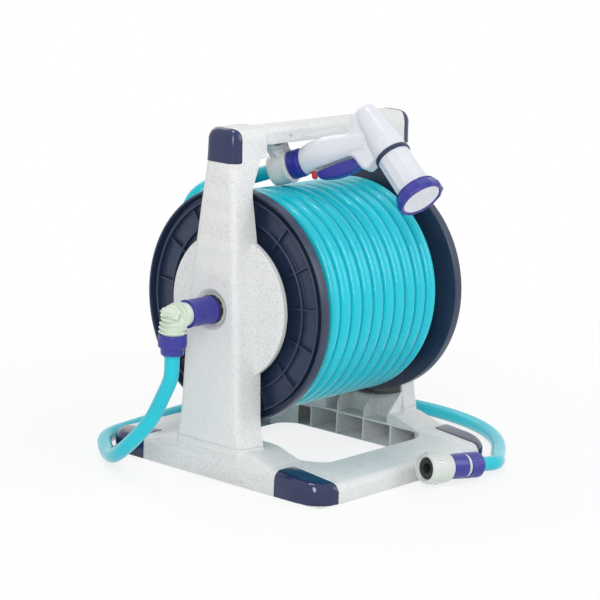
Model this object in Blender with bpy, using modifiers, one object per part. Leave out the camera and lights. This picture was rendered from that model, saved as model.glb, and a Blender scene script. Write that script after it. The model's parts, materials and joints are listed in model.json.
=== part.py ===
"""Garden hose reel: a drum of hose between two columns on an open base, with a spray nozzle held
under the carrying handle. Metres, X along the drum's axle, front at -Y, floor at z = 0."""

import math

import bmesh
import bpy
import numpy as np
from mathutils import Matrix, Vector

# Clearances and wall thickness shared by all the moulded pieces.
GAP = 0.0003
WALL = 0.003
CAP_PROUD = 0.0008
CAP_INNER = 0.0023
CAP_SEAT = CAP_INNER + GAP

# Hose.
HOSE_RADIUS = 0.010

# Drum: a plain core of inner layers carries the outer layer of the winding.
AXLE_HEIGHT = 0.2305
FLANGE_RADIUS = 0.1575
FLANGE_OUTER_X = 0.147
FLANGE_INNER_X = 0.133
BARREL_RADIUS = 0.075
BARREL_WALL = 0.003
CORE_RADIUS = 0.1272
CORE_STEP_RADIUS = 0.1074
CORE_STEP_X = 0.096
RIB_ANGLE = 24
SPINDLE_RADIUS = 0.015
SPINDLE_BORE = 0.008
BRANCH_RADIUS = 0.010
HUB_FLANGE_RADIUS = 0.032
DRUM_STEPS = 28

# Winding.
WINDING_RADIUS = 0.1389
WINDING_END_RADIUS = 0.1190
TURN_PITCH = 0.0224
WINDING_FIRST_ANGLE = 15
WINDING_FRONT_X = -0.1072
POINTS_PER_TURN = 24
CROSSING_START = 9.86
CROSSING_TURNS = 0.31
CROSSING_END_X = 0.1215
LAST_STRAIGHT = 0.020

# Base.
BASE_HALF_X = 0.187
BASE_HALF_Y = 0.200
BASE_CORNER = 0.045
BASE_WALL = 0.0065
RAIL_TOP = 0.034
HUMP_TOP = 0.047
PLINTH_TOP = 0.050
CEILING = RAIL_TOP - WALL
CAPPED_CEILING = CEILING - CAP_SEAT
RAIL_INNER_X = 0.119
OPENING_FRONT_Y = -BASE_HALF_Y + 0.065
OPENING_BACK_Y = BASE_HALF_Y - 0.072
RAIL_RIBS_Y = (OPENING_FRONT_Y + 0.020, -0.066, -0.016, 0.033, 0.082, OPENING_BACK_Y + 0.001)
BACK_RIBS_X = (-0.084, -0.042, 0.0, 0.042, 0.084)
FRONT_RIBS_X = (-RAIL_INNER_X - 0.0005, -0.060, 0.0, 0.060, RAIL_INNER_X + 0.0005)
GUSSET_RADIUS = 0.167
CORNER_CAP_X = BASE_HALF_X - 0.037
CORNER_CAP_Y = BASE_HALF_Y - 0.080
END_SLOPE = 0.105

# Columns.
COLUMN_OUTER_X = BASE_HALF_X + 0.003
COLUMN_INNER_X = FLANGE_OUTER_X + 0.0025
COLUMN_RISE = 0.2395
COLUMN_TOP = AXLE_HEIGHT + COLUMN_RISE
LUG_END_X = 0.120
LUG_UNDERSIDE = COLUMN_TOP - 0.040
TOP_CAP_LOW = COLUMN_TOP - 0.044
TOP_CAP_HIGH = COLUMN_TOP - 0.0035
TOP_CAP_INNER_X = COLUMN_OUTER_X - 0.022
SHIELD_RADIUS = 0.100
SHIELD_INNER_X = FLANGE_OUTER_X + 0.003
SHIELD_OUTER_X = SHIELD_INNER_X + 0.008
HUB_BORE = 0.0215
HUB_FACE_X = COLUMN_OUTER_X - 0.001
BUSH_BORE = SPINDLE_RADIUS + GAP

# Handle.
HANDLE_HALF_X = LUG_END_X - GAP
HANDLE_HALF_Y = 0.017
HANDLE_LOW = COLUMN_TOP - 0.026
HANDLE_TOP = COLUMN_TOP - 0.002
HANDLE_ROUNDING = 0.009
HANDLE_RIBS_X = (0.0015 - HANDLE_HALF_X, -0.096, -0.030, 0.030, 0.096, HANDLE_HALF_X - 0.0015)
HANDLE_SCREW_Z = COLUMN_TOP - 0.014
HOLDER_PIN = (-0.063, HANDLE_LOW + 0.0095)
SCREW_RADIUS = 0.002
COLUMN_SCREWS_X = (COLUMN_INNER_X + BASE_HALF_X - BASE_WALL) / 2
COLUMN_SCREWS_Y = (-0.042, 0.043)

# Crank.
CRANK_LENGTH = 0.100
CRANK_ANGLE = -45
CRANK_INNER_X = COLUMN_OUTER_X + 0.008
CRANK_THICKNESS = 0.010
KNOB_LENGTH = 0.0713
KNOB_END_X = CRANK_INNER_X + CRANK_THICKNESS + 0.0010 + KNOB_LENGTH
KNOB_PIN_RADIUS = 0.005

# Inlet connector and elbow.
SPINDLE_END_X = COLUMN_OUTER_X + 0.025
COLLAR_RADIUS = 0.019
COLLAR_START_X = -COLUMN_OUTER_X - 0.0025
COLLAR_END_X = COLLAR_START_X - 0.0455
ELBOW_BEND = 0.0225
ELBOW_RADIUS = 0.0168
ELBOW_RIB_RADIUS = 0.0195
ELBOW_RIBS = 6
ELBOW_RIB_THICKNESS = 0.0016
ELBOW_LOW = AXLE_HEIGHT - 0.0232
NUT_LOW = AXLE_HEIGHT - 0.0505

# Nozzle, in its own frame: X runs forward along the grip from the mouth of the holder's cup.
NOZZLE_MOUTH = (-0.0388, 0.0, COLUMN_TOP - 0.0611)
NOZZLE_TURN = 16.43
NOZZLE_LIFT = 20.14
NOZZLE_ROLL = 19.23
CUP_LENGTH = 0.0284
CUP_RADIUS = 0.0235
CUP_BORE = 0.0182
NOZZLE_TAIL_RADIUS = 0.0177
HEAD_FORWARD = 0.138
HEAD_ANGLE = 64.8
BAND_START = 0.0263
BARREL_START = 0.0316
RING_START = 0.088
NOZZLE_FACE = 0.105
TRIGGER_PIVOT = (0.1075, -0.0235)
TRIGGER_HALF_WIDTH = 0.0075
TRIGGER_PIN_RADIUS = 0.0015
LOCK_X = 0.0320
LOCK_Z = -0.0235
LOCK_TRAVEL = 0.0037

# Tap connector on the loose end of the supply hose, lying on the floor.
TAP_START = (0.0892, -0.2436, 0.0188)
TAP_AXIS = (-0.981, 0.170, 0.088)
TAP_NUT_LENGTH = 0.024
TAP_RING_LENGTH = 0.0047
TAP_SLEEVE_LENGTH = 0.028
TAP_BODY_LENGTH = 0.0405
TAP_NUT_RADIUS = 0.0175
TAP_BODY_RADIUS = 0.0218

# Colour, roughness and metallic share of each kind of surface.
FINISHES = {
    "speckled": ((0.80, 0.81, 0.80), 0.45, 0.0),
    "navy": ((0.035, 0.060, 0.130), 0.40, 0.0),
    "navy_gloss": ((0.040, 0.065, 0.140), 0.15, 0.0),
    "cyan": ((0.005, 0.450, 0.480), 0.22, 0.0),
    "cyan_inner": ((0.005, 0.350, 0.380), 0.35, 0.0),
    "purple": ((0.060, 0.060, 0.420), 0.35, 0.0),
    "cream": ((0.720, 0.740, 0.620), 0.40, 0.0),
    "lavender": ((0.720, 0.730, 0.780), 0.30, 0.0),
    "white": ((0.820, 0.830, 0.830), 0.35, 0.0),
    "red": ((0.650, 0.020, 0.020), 0.35, 0.0),
    "black": ((0.015, 0.015, 0.018), 0.60, 0.0),
    "steel": ((0.600, 0.610, 0.620), 0.25, 1.0),
}

for leftover in list(bpy.data.objects):
    bpy.data.objects.remove(leftover)

reel = bpy.data.collections.new("hose_reel")
shapers = bpy.data.collections.new("cutters")
bpy.context.scene.collection.children.link(reel)
bpy.context.scene.collection.children.link(shapers)
shapers.hide_render = True


def material(name, finish):
    """A plain material for one piece."""
    colour, roughness, metallic = FINISHES[finish]
    made = bpy.data.materials.new(name)
    made.use_nodes = True
    shader = made.node_tree.nodes["Principled BSDF"]
    shader.inputs["Base Color"].default_value = (*colour, 1)
    shader.inputs["Roughness"].default_value = roughness
    shader.inputs["Metallic"].default_value = metallic
    made.diffuse_color = (*colour, 1)
    return made


def add(name, data, finish):
    """An object of the reel, or with no finish a cutter."""
    obj = bpy.data.objects.new(name, data)
    if finish:
        reel.objects.link(obj)
        data.materials.append(material(name, finish))
    else:
        shapers.objects.link(obj)
        obj.hide_render = True
        obj.display_type = "WIRE"
    return obj


def to_mesh(shape, name):
    mesh = bpy.data.meshes.new(name)
    shape.to_mesh(mesh)
    shape.free()
    return mesh


def block(name, low, high, finish=None, round_over=0, segments=2):
    """A box between two corners, its edges rounded over."""
    low, high = Vector(low), Vector(high)
    shape = bmesh.new()
    bmesh.ops.create_cube(shape, size=1)
    bmesh.ops.scale(shape, vec=high - low, verts=shape.verts)
    obj = add(name, to_mesh(shape, name), finish)
    obj.location = (low + high) / 2
    if round_over:
        bevel = obj.modifiers.new("rounding", "BEVEL")
        bevel.width = round_over
        bevel.segments = segments
    return obj


def rod(name, start, end, radius, finish=None, sides=32, end_radius=None):
    """A cylinder or cone between two points."""
    start, end = Vector(start), Vector(end)
    axis = end - start
    shape = bmesh.new()
    bmesh.ops.create_cone(
        shape,
        cap_ends=True,
        segments=sides,
        radius1=radius,
        radius2=radius if end_radius is None else end_radius,
        depth=axis.length,
    )
    obj = add(name, to_mesh(shape, name), finish)
    obj.location = (start + end) / 2
    obj.rotation_euler = axis.to_track_quat("Z", "Y").to_euler()
    return obj


def turned(name, profile, finish=None, steps=16, hollow=True):
    """A profile of (radius, height) turned about Z. It runs from the top down the outer side, and a
    hollow one comes back up the bore."""
    count = len(profile)
    edges = [(i, i + 1) for i in range(count - 1)]
    if hollow:
        edges.append((count - 1, 0))
    mesh = bpy.data.meshes.new(name)
    mesh.from_pydata([(radius, 0, height) for radius, height in profile], edges, [])
    obj = add(name, mesh, finish)
    screw = obj.modifiers.new("turn", "SCREW")
    screw.steps = steps
    screw.render_steps = steps
    screw.use_merge_vertices = True
    screw.merge_threshold = 0.0001
    return obj


def on_axle(side, name, profile, finish=None, steps=16, hollow=True):
    """A turned piece on the drum's axle, its heights being distances from the middle of the reel."""
    obj = turned(name, profile, finish, steps, hollow)
    obj.location = (0, 0, AXLE_HEIGHT)
    obj.rotation_euler = (0, side * math.pi / 2, 0)
    return obj


def loft(name, rings, finish=None):
    """A skin through rings of points, closed by a flat face at each end."""
    shape = bmesh.new()
    levels = [[shape.verts.new(point) for point in ring] for ring in rings]
    count = len(rings[0])
    for low, high in zip(levels, levels[1:]):
        for i in range(count):
            j = (i + 1) % count
            shape.faces.new((low[i], low[j], high[j], high[i]))
    shape.faces.new(levels[0][::-1])
    shape.faces.new(levels[-1])
    bmesh.ops.recalc_face_normals(shape, faces=shape.faces)
    return add(name, to_mesh(shape, name), finish)


def plate(name, outline, depth, finish=None, round_over=0):
    """A flat outline in X and Y, of an even depth about z = 0."""
    curve = bpy.data.curves.new(name, "CURVE")
    curve.dimensions = "2D"
    curve.fill_mode = "BOTH"
    curve.extrude = depth / 2
    spline = curve.splines.new("POLY")
    spline.points.add(len(outline) - 1)
    for point, (x, y) in zip(spline.points, outline):
        point.co = (x, y, 0, 1)
    spline.use_cyclic_u = True
    drawn = bpy.data.objects.new(name + "_outline", curve)
    mesh = bpy.data.meshes.new_from_object(drawn)
    mesh.name = name
    bpy.data.objects.remove(drawn)
    shape = bmesh.new()
    shape.from_mesh(mesh)
    bmesh.ops.remove_doubles(shape, verts=shape.verts, dist=0.00001)
    bmesh.ops.recalc_face_normals(shape, faces=shape.faces)
    shape.to_mesh(mesh)
    shape.free()
    obj = add(name, mesh, finish)
    if round_over:
        bevel = obj.modifiers.new("rounding", "BEVEL")
        bevel.width = round_over
        bevel.segments = 1
        bevel.limit_method = "ANGLE"
    return obj


def tube(name, points, radius, finish, resolution=2):
    """A hose along a row of points, its ends flat."""
    curve = bpy.data.curves.new(name, "CURVE")
    curve.dimensions = "3D"
    curve.bevel_depth = radius
    curve.bevel_resolution = resolution
    curve.use_fill_caps = True
    spline = curve.splines.new("POLY")
    spline.points.add(len(points) - 1)
    for point, place in zip(spline.points, points):
        point.co = (*place, 1)
    return add(name, curve, finish)


def shaped(obj, operation, tools, solver="EXACT"):
    for tool in tools:
        change = obj.modifiers.new(tool.name, "BOOLEAN")
        change.operation = operation
        change.object = tool
        change.solver = solver
    return obj


def cut(obj, *tools, solver="EXACT"):
    return shaped(obj, "DIFFERENCE", tools, solver)


def join(obj, *tools, solver="EXACT"):
    return shaped(obj, "UNION", tools, solver)


def keep(obj, *tools):
    return shaped(obj, "INTERSECT", tools)


def rounded(half_x, half_y, radius, steps=3):
    """The outline of a rectangle with round corners."""
    outline = []
    for quarter in range(4):
        way_x = (1, -1, -1, 1)[quarter]
        way_y = (1, 1, -1, -1)[quarter]
        for step in range(steps + 1):
            turn = math.pi / 2 * (quarter + step / steps)
            x = way_x * (half_x - radius) + radius * math.cos(turn)
            y = way_y * (half_y - radius) + radius * math.sin(turn)
            outline.append((x, y))
    return outline


def spaced(points, spacing):
    """Points at an even spacing along a row of closely set ones."""
    points = np.array(points)
    steps = np.linalg.norm(np.diff(points, axis=0), axis=1)
    along = np.concatenate(([0], np.cumsum(steps)))
    count = max(2, round(along[-1] / spacing) + 1)
    stations = np.linspace(0, along[-1], count)
    return np.column_stack([np.interp(stations, along, points[:, k]) for k in range(3)])


def smooth_route(points, start_way, end_way, samples=40):
    """A cubic curve through a row of points that leaves and arrives in the given directions."""
    points = np.array(points)
    along = np.concatenate(([0], np.cumsum(np.linalg.norm(np.diff(points, axis=0), axis=1))))
    count = len(points)
    rule = np.zeros((count, count))
    target = np.zeros((count, 3))
    rule[0, 0] = rule[-1, -1] = 1
    target[0] = np.array(start_way) / np.linalg.norm(start_way)
    target[-1] = np.array(end_way) / np.linalg.norm(end_way)
    for i in range(1, count - 1):
        before = along[i] - along[i - 1]
        after = along[i + 1] - along[i]
        rule[i, i - 1] = 1 / before
        rule[i, i] = 2 / before + 2 / after
        rule[i, i + 1] = 1 / after
        target[i] = 3 * (
            (points[i] - points[i - 1]) / before**2 + (points[i + 1] - points[i]) / after**2
        )
    ways = np.linalg.solve(rule, target)
    curve = []
    for i in range(count - 1):
        span = along[i + 1] - along[i]
        for t in np.arange(samples) / samples:
            curve.append(
                (2 * t**3 - 3 * t**2 + 1) * points[i]
                + (t**3 - 2 * t**2 + t) * span * ways[i]
                + (3 * t**2 - 2 * t**3) * points[i + 1]
                + (t**3 - t**2) * span * ways[i + 1]
            )
    curve.append(points[-1])
    return curve


# Base frame.


def base_skin(name, offset, low=0.0, finish=None):
    """The outside of the base's ring, moved out by an offset."""
    heights = (
        (low, -offset),
        (0.0245, -offset),
        (0.0305 + 0.7 * offset, 0.003 - 0.7 * offset),
        (RAIL_TOP + offset, 0.0100 - 0.3 * offset),
    )
    rings = []
    for z, inset in heights:
        outline = rounded(BASE_HALF_X - inset, BASE_HALF_Y - inset, BASE_CORNER - inset)
        rings.append([(x, y, z) for x, y in outline])
    return loft(name, rings, finish)


def column_ring(side, z, outer_x, inner_x, outer_half, inner_half, radius):
    """One level of a column: its flat outer face, two round corners and two inner edges."""
    ring = []
    for way in (-1, 1):
        corner = np.array([outer_x, way * outer_half])
        inner = np.array([inner_x, way * inner_half])
        along_side = (inner - corner) / np.linalg.norm(inner - corner)
        along_face = np.array([0, -way])
        arc = []
        for share in (0, 0.5, 1):
            turn = share * math.pi / 2
            arc.append(
                corner
                + radius * (1 - math.sin(turn)) * along_side
                + radius * (1 - math.cos(turn)) * along_face
            )
        half = [inner, *arc]
        ring += half if way == -1 else half[::-1]
    return [(side * x, y, z) for x, y in ring]


column_z = [PLINTH_TOP, PLINTH_TOP + 0.025]
column_z += [AXLE_HEIGHT + rise for rise in (-0.0855, -0.0645, -0.0005, 0.0825)]
column_z += [COLUMN_TOP - drop for drop in (0.105, 0.080, 0.050, 0.020, 0.0)]
column_outer_half = (0.0585, 0.0525, 0.049, 0.048, 0.043, 0.036, 0.031, 0.0285, 0.026, 0.025, 0.025)
column_inner_half = (0.0665, 0.0595, 0.056, 0.055, 0.050, 0.043, 0.034, 0.0290, 0.029, 0.028, 0.028)


def column_level(side, z, offset, inner_shift=0.0, inner_x=None):
    drop = COLUMN_TOP - z
    outer_x = np.interp(drop, (0.050, 0.220), (COLUMN_OUTER_X - 0.0055, COLUMN_OUTER_X)) + offset
    if inner_x is None:
        lug_drop = COLUMN_TOP - LUG_UNDERSIDE
        lug = (LUG_END_X, LUG_END_X + 0.0125, LUG_END_X + 0.016, COLUMN_INNER_X)
        inner_x = np.interp(drop, (lug_drop, lug_drop + 0.001, lug_drop + 0.010, 0.082), lug)
    return column_ring(
        side,
        z,
        outer_x,
        inner_x - inner_shift,
        np.interp(z, column_z, column_outer_half) + offset,
        np.interp(z, column_z, column_inner_half) + offset,
        0.008 + np.interp(drop, (0.040, 0.080), (0.006, 0)) + 0.4 * offset,
    )


def corner_blocks(name, x, y, low, high, finish=None):
    corners = []
    for side in (-1, 1):
        for end in (-1, 1):
            label = f"{name}_{'left' if side < 0 else 'right'}_{'front' if end < 0 else 'back'}"
            ends_x = sorted((side * x, side * (BASE_HALF_X + 0.02)))
            ends_y = sorted((end * y, end * (BASE_HALF_Y + 0.02)))
            corners.append(
                block(label, (ends_x[0], ends_y[0], low), (ends_x[1], ends_y[1], high), finish)
            )
    return corners


def slope_ends(obj):
    """Lowers the top of the base's rails evenly toward its front and back ends."""
    bpy.context.view_layer.update()
    shape = bmesh.new()
    shape.from_object(obj, bpy.context.evaluated_depsgraph_get())
    bmesh.ops.triangulate(shape, faces=shape.faces)
    for vert in shape.verts:
        place = obj.matrix_world @ vert.co
        past = max(abs(place.y) - CORNER_CAP_Y, 0)
        vert.co.z -= END_SLOPE * past * np.interp(place.z, (0.010, 0.026), (0, 1))
    finish = obj.data.materials[0]
    obj.modifiers.clear()
    obj.data = to_mesh(shape, obj.name)
    obj.data.materials.append(finish)


base_frame = base_skin("base_frame", 0, finish="speckled")

hump_line = (
    (-0.112, 0.0300),
    (-0.105, 0.0355),
    (-0.092, 0.0385),
    (-0.080, 0.0425),
    (-0.070, 0.0458),
    (-0.060, HUMP_TOP),
)
hump_outline = [*hump_line, *((-y, z) for y, z in reversed(hump_line))]
hump_outline += [(0.112, 0.026), (-0.112, 0.026)]
hump_stations = (
    (RAIL_INNER_X + 0.0025, 0),
    (BASE_HALF_X - 0.0070, 0),
    (BASE_HALF_X - 0.0004, 0.0065),
)
gusset_outline = (
    (RAIL_INNER_X + 0.0015, 0.032),
    (RAIL_INNER_X + 0.0015, 0.0472),
    (COLUMN_INNER_X - 0.0003, 0.078),
    (COLUMN_INNER_X + 0.0002, 0.032),
)

gusset_front = {-1: -0.0290, 1: -0.0605}

for side in (-1, 1):
    end = "left" if side < 0 else "right"
    hump = loft(
        f"{end}_hump",
        [
            [(side * x, y, max(z - drop, 0.0262) if z > 0.027 else z) for y, z in hump_outline]
            for x, drop in hump_stations
        ],
    )
    plinth = loft(
        f"{end}_plinth",
        [
            column_ring(side, 0.030, COLUMN_OUTER_X - 0.0032, COLUMN_INNER_X, 0.064, 0.071, 0.008),
            column_ring(side, 0.044, COLUMN_OUTER_X - 0.0020, COLUMN_INNER_X, 0.0605, 0.0685, 0.008),
            column_ring(side, PLINTH_TOP, COLUMN_OUTER_X, COLUMN_INNER_X, 0.0585, 0.0665, 0.008),
        ],
    )
    gusset = loft(
        f"{end}_gusset",
        [[(side * x, y, z) for x, z in gusset_outline] for y in (gusset_front[side], 0.0605)],
    )
    sweep = rod(
        f"{end}_gusset_arc",
        (side * (RAIL_INNER_X - 0.0040), 0, AXLE_HEIGHT),
        (side * (COLUMN_INNER_X + 0.0055), 0, AXLE_HEIGHT),
        GUSSET_RADIUS,
        sides=48,
    )
    cut(gusset, sweep)
    join(base_frame, hump, plinth, gusset)

opening = plate(
    "base_opening",
    rounded(RAIL_INNER_X, (OPENING_BACK_Y - OPENING_FRONT_Y) / 2, 0.035, 4),
    0.080,
)
opening.location = (0, (OPENING_BACK_Y + OPENING_FRONT_Y) / 2, 0.020)
cut(base_frame, opening)

for side in (-1, 1):
    end = "left" if side < 0 else "right"
    guard = rod(
        f"{end}_cell_arc",
        (side * (RAIL_INNER_X - 0.0090), 0, AXLE_HEIGHT),
        (side * (COLUMN_INNER_X + 0.0105), 0, AXLE_HEIGHT),
        GUSSET_RADIUS + WALL,
        sides=48,
    )
    for number, (front, back) in enumerate(zip(RAIL_RIBS_Y, RAIL_RIBS_Y[1:])):
        y_low, y_high = front + WALL / 2, back - WALL / 2
        x_ends = sorted((side * (RAIL_INNER_X - 0.002), side * (BASE_HALF_X - BASE_WALL)))
        under_cap = back > CORNER_CAP_Y
        cut(
            base_frame,
            block(
                f"{end}_rail_cell_{number}",
                (x_ends[0], y_low, -0.002),
                (x_ends[1], y_high, CAPPED_CEILING if under_cap else CEILING),
            ),
        )
        if abs((front + back) / 2) < 0.06:
            x_ends = sorted((side * (RAIL_INNER_X - 0.0070), side * (COLUMN_INNER_X - 0.0033)))
            opened = block(
                f"{end}_foot_cell_{number}",
                (x_ends[0], max(y_low, gusset_front[side] + WALL), CEILING - 0.001),
                (x_ends[1], min(y_high, 0.0575), 0.090),
            )
            cut(base_frame, cut(opened, guard))
    inner_x, outer_x = RAIL_INNER_X + WALL, BASE_HALF_X - 0.010
    for end_y, inner_y in ((-1, -OPENING_FRONT_Y - WALL), (1, OPENING_BACK_Y + 0.004)):
        outer_y = BASE_HALF_Y - 0.011
        corner = plate(
            f"{end}_{'front' if end_y < 0 else 'back'}_corner_cavity",
            rounded((outer_x - inner_x) / 2, (outer_y - inner_y) / 2, (outer_x - inner_x) / 2 - 0.0005, 2),
            CAPPED_CEILING + 0.002,
        )
        corner.location = (
            side * (inner_x + outer_x) / 2,
            end_y * (inner_y + outer_y) / 2,
            (CAPPED_CEILING - 0.002) / 2,
        )
        cut(base_frame, corner)

for number, (left, right) in enumerate(zip(FRONT_RIBS_X, FRONT_RIBS_X[1:])):
    cut(
        base_frame,
        block(
            f"front_cell_{number}",
            (left + WALL / 2, -BASE_HALF_Y + BASE_WALL, -0.002),
            (right - WALL / 2, OPENING_FRONT_Y - WALL, CEILING),
        ),
    )
for number, (left, right) in enumerate(zip(BACK_RIBS_X, BACK_RIBS_X[1:])):
    cut(
        base_frame,
        block(
            f"back_cell_{number}",
            (left + WALL / 2, OPENING_BACK_Y - 0.002, -0.002),
            (right - WALL / 2, BASE_HALF_Y - BASE_WALL, CEILING),
        ),
    )

for seat in corner_blocks("cap_seat", CORNER_CAP_X, CORNER_CAP_Y, -0.010, 0.060):
    cut(base_frame, cut(seat, base_skin(seat.name + "_skin", -CAP_SEAT, -0.012)))

for cap in corner_blocks(
    "base_cap", CORNER_CAP_X + GAP, CORNER_CAP_Y + GAP, 0.0005, 0.060, "navy_gloss"
):
    keep(cap, base_skin(cap.name + "_outer", CAP_PROUD))
    cut(cap, base_skin(cap.name + "_inner", -CAP_INNER, -0.005))
    slope_ends(cap)

slope_ends(base_frame)

# Columns, each a hollow shell with a round shield behind the drum's flange.
for side in (-1, 1):
    end = "left" if side < 0 else "right"
    lower_levels = [PLINTH_TOP + 0.025]
    lower_levels += [AXLE_HEIGHT - 0.0645, AXLE_HEIGHT + 0.0195, AXLE_HEIGHT + 0.0825, COLUMN_TOP - 0.080]
    upper_levels = [LUG_UNDERSIDE - 0.010, LUG_UNDERSIDE - 0.001, LUG_UNDERSIDE, COLUMN_TOP - 0.007]
    outer_levels = [PLINTH_TOP + GAP, *lower_levels, *upper_levels]
    rings = [column_level(side, z, 0) for z in outer_levels]
    rings += [column_level(side, COLUMN_TOP - 0.002, -0.003), column_level(side, COLUMN_TOP, -0.008)]
    column = loft(f"{end}_column", rings, "speckled")

    shield = on_axle(
        side,
        f"{end}_shield",
        [
            (0.028, SHIELD_OUTER_X),
            (SHIELD_RADIUS, SHIELD_OUTER_X),
            (SHIELD_RADIUS, SHIELD_INNER_X),
            (SHIELD_RADIUS - WALL, SHIELD_INNER_X),
            (SHIELD_RADIUS - WALL, SHIELD_OUTER_X - WALL),
            (0.028, SHIELD_OUTER_X - WALL),
        ],
        steps=24,
    )
    boss = rod(
        f"{end}_hub_boss",
        (side * (SHIELD_OUTER_X - WALL), 0, AXLE_HEIGHT),
        (side * HUB_FACE_X, 0, AXLE_HEIGHT),
        0.0335,
        sides=20,
    )
    cavity_levels = (PLINTH_TOP + WALL, *lower_levels, COLUMN_TOP - 0.055)
    hollow = [column_level(side, z, -WALL, 0.006) for z in cavity_levels]
    hollow.append(column_level(side, COLUMN_TOP - 0.046, -0.0058, 0.006))
    hollow.append(column_level(side, LUG_UNDERSIDE - 0.001, -0.0058, 0.008))
    lug_levels = (LUG_UNDERSIDE, COLUMN_TOP - 0.0095)
    hollow += [column_level(side, z, -0.0058, -WALL, LUG_END_X) for z in lug_levels]
    cut(column, loft(f"{end}_column_cavity", hollow))
    join(column, shield, boss)
    cut(
        column,
        rod(
            f"{end}_hub_bore",
            (side * (SHIELD_INNER_X - 0.005), 0, AXLE_HEIGHT),
            (side * (COLUMN_OUTER_X + 0.010), 0, AXLE_HEIGHT),
            HUB_BORE,
            sides=24,
        ),
        rod(
            f"{end}_hub_countersink",
            (side * (HUB_FACE_X - 0.0032), 0, AXLE_HEIGHT),
            (side * (HUB_FACE_X + 0.0025), 0, AXLE_HEIGHT),
            HUB_BORE + 0.0004,
            sides=20,
            end_radius=0.0297,
        ),
    )
    on_axle(
        side,
        f"{end}_hub_bush",
        [
            (BUSH_BORE, HUB_FACE_X - 0.0035),
            (HUB_BORE - GAP, HUB_FACE_X - 0.0035),
            (HUB_BORE - GAP, SHIELD_OUTER_X - WALL - GAP),
            (0.027, SHIELD_OUTER_X - WALL - GAP),
            (0.027, SHIELD_INNER_X + 0.0008),
            (BUSH_BORE, SHIELD_INNER_X + 0.0008),
        ],
        "white",
        steps=16,
    )

    x_ends = sorted((side * TOP_CAP_INNER_X, side * (COLUMN_OUTER_X + 0.020)))
    seat = block(
        f"{end}_top_seat",
        (x_ends[0], -0.050, TOP_CAP_LOW - GAP),
        (x_ends[1], 0.050, TOP_CAP_HIGH + GAP),
    )
    seat_levels = [COLUMN_TOP - drop for drop in (0.050, 0.021, -0.005)]
    seat_skin = loft(
        f"{end}_top_seat_skin", [column_level(side, z, -CAP_SEAT, 0.010) for z in seat_levels]
    )
    cut(column, cut(seat, seat_skin))
    x_ends = sorted((side * (TOP_CAP_INNER_X + GAP), side * (COLUMN_OUTER_X + 0.020)))
    cap = block(
        f"{end}_top_cap",
        (x_ends[0], -0.050, TOP_CAP_LOW),
        (x_ends[1], 0.050, TOP_CAP_HIGH),
        "navy_gloss",
    )
    cap_levels = [(COLUMN_TOP - drop, CAP_PROUD) for drop in (0.050, 0.021, 0.008)]
    cap_levels += [(COLUMN_TOP - 0.003, CAP_PROUD - 0.003), (COLUMN_TOP + 0.005, -0.005)]
    keep(
        cap,
        loft(
            f"{end}_top_cap_outer",
            [column_level(side, z, offset, 0.010) for z, offset in cap_levels],
        ),
    )
    cut(
        cap,
        loft(f"{end}_top_cap_inner", [column_level(side, z, -CAP_INNER, 0.010) for z in seat_levels]),
    )

    for y in COLUMN_SCREWS_Y:
        place = "front" if y < 0 else "back"
        x = side * COLUMN_SCREWS_X
        hole = rod(
            f"{end}_{place}_column_hole",
            (x, y, 0.020),
            (x, y, PLINTH_TOP + WALL + 0.006),
            SCREW_RADIUS + GAP,
            sides=10,
        )
        cut(base_frame, hole)
        cut(column, hole)
        screw = turned(
            f"{end}_column_screw_{place}",
            [
                (0, PLINTH_TOP + 0.010),
                (SCREW_RADIUS, PLINTH_TOP + 0.010),
                (SCREW_RADIUS, CEILING - GAP),
                (0.0042, CEILING - GAP),
                (0.0042, CEILING - GAP - 0.0026),
                (0, CEILING - GAP - 0.0026),
            ],
            "steel",
            steps=8,
            hollow=False,
        )
        screw.location = (x, y, 0)

# Carrying handle: a channel open underneath, cross ribs inside.
handle_section = []
for degrees in range(0, 91, 30):
    turn = math.radians(degrees)
    y = HANDLE_HALF_Y - HANDLE_ROUNDING * (1 - math.sin(turn))
    z = HANDLE_TOP - HANDLE_ROUNDING * (1 - math.cos(turn))
    handle_section.append((y, z))
handle_section += [(HANDLE_HALF_Y, HANDLE_LOW + 0.002), (HANDLE_HALF_Y - 0.002, HANDLE_LOW)]
handle_section = [(-y, z) for y, z in reversed(handle_section)] + handle_section
carry_handle = loft(
    "carry_handle",
    [[(x, y, z) for y, z in handle_section] for x in (-HANDLE_HALF_X, HANDLE_HALF_X)],
    "speckled",
)
for number, (left, right) in enumerate(zip(HANDLE_RIBS_X, HANDLE_RIBS_X[1:])):
    cut(
        carry_handle,
        block(
            f"handle_cell_{number}",
            (left + WALL / 2, -HANDLE_HALF_Y + WALL, HANDLE_LOW - 0.002),
            (right - WALL / 2, HANDLE_HALF_Y - WALL, HANDLE_TOP - WALL - 0.0025),
        ),
    )
for side in (-1, 1):
    end = "left" if side < 0 else "right"
    column = bpy.data.objects[f"{end}_column"]
    hole = rod(
        f"{end}_handle_hole",
        (side * (LUG_END_X - 0.008), 0, HANDLE_SCREW_Z),
        (side * (LUG_END_X + 0.007), 0, HANDLE_SCREW_Z),
        SCREW_RADIUS + GAP,
        sides=10,
    )
    cut(column, hole)
    cut(carry_handle, hole)
    screw = turned(
        f"{end}_handle_screw",
        [
            (0, LUG_END_X + WALL + GAP + 0.0026),
            (0.0042, LUG_END_X + WALL + GAP + 0.0026),
            (0.0042, LUG_END_X + WALL + GAP),
            (SCREW_RADIUS, LUG_END_X + WALL + GAP),
            (SCREW_RADIUS, LUG_END_X - 0.0065),
            (0, LUG_END_X - 0.0065),
        ],
        "steel",
        steps=8,
        hollow=False,
    )
    screw.location = (0, 0, HANDLE_SCREW_Z)
    screw.rotation_euler = (0, side * math.pi / 2, 0)

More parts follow.
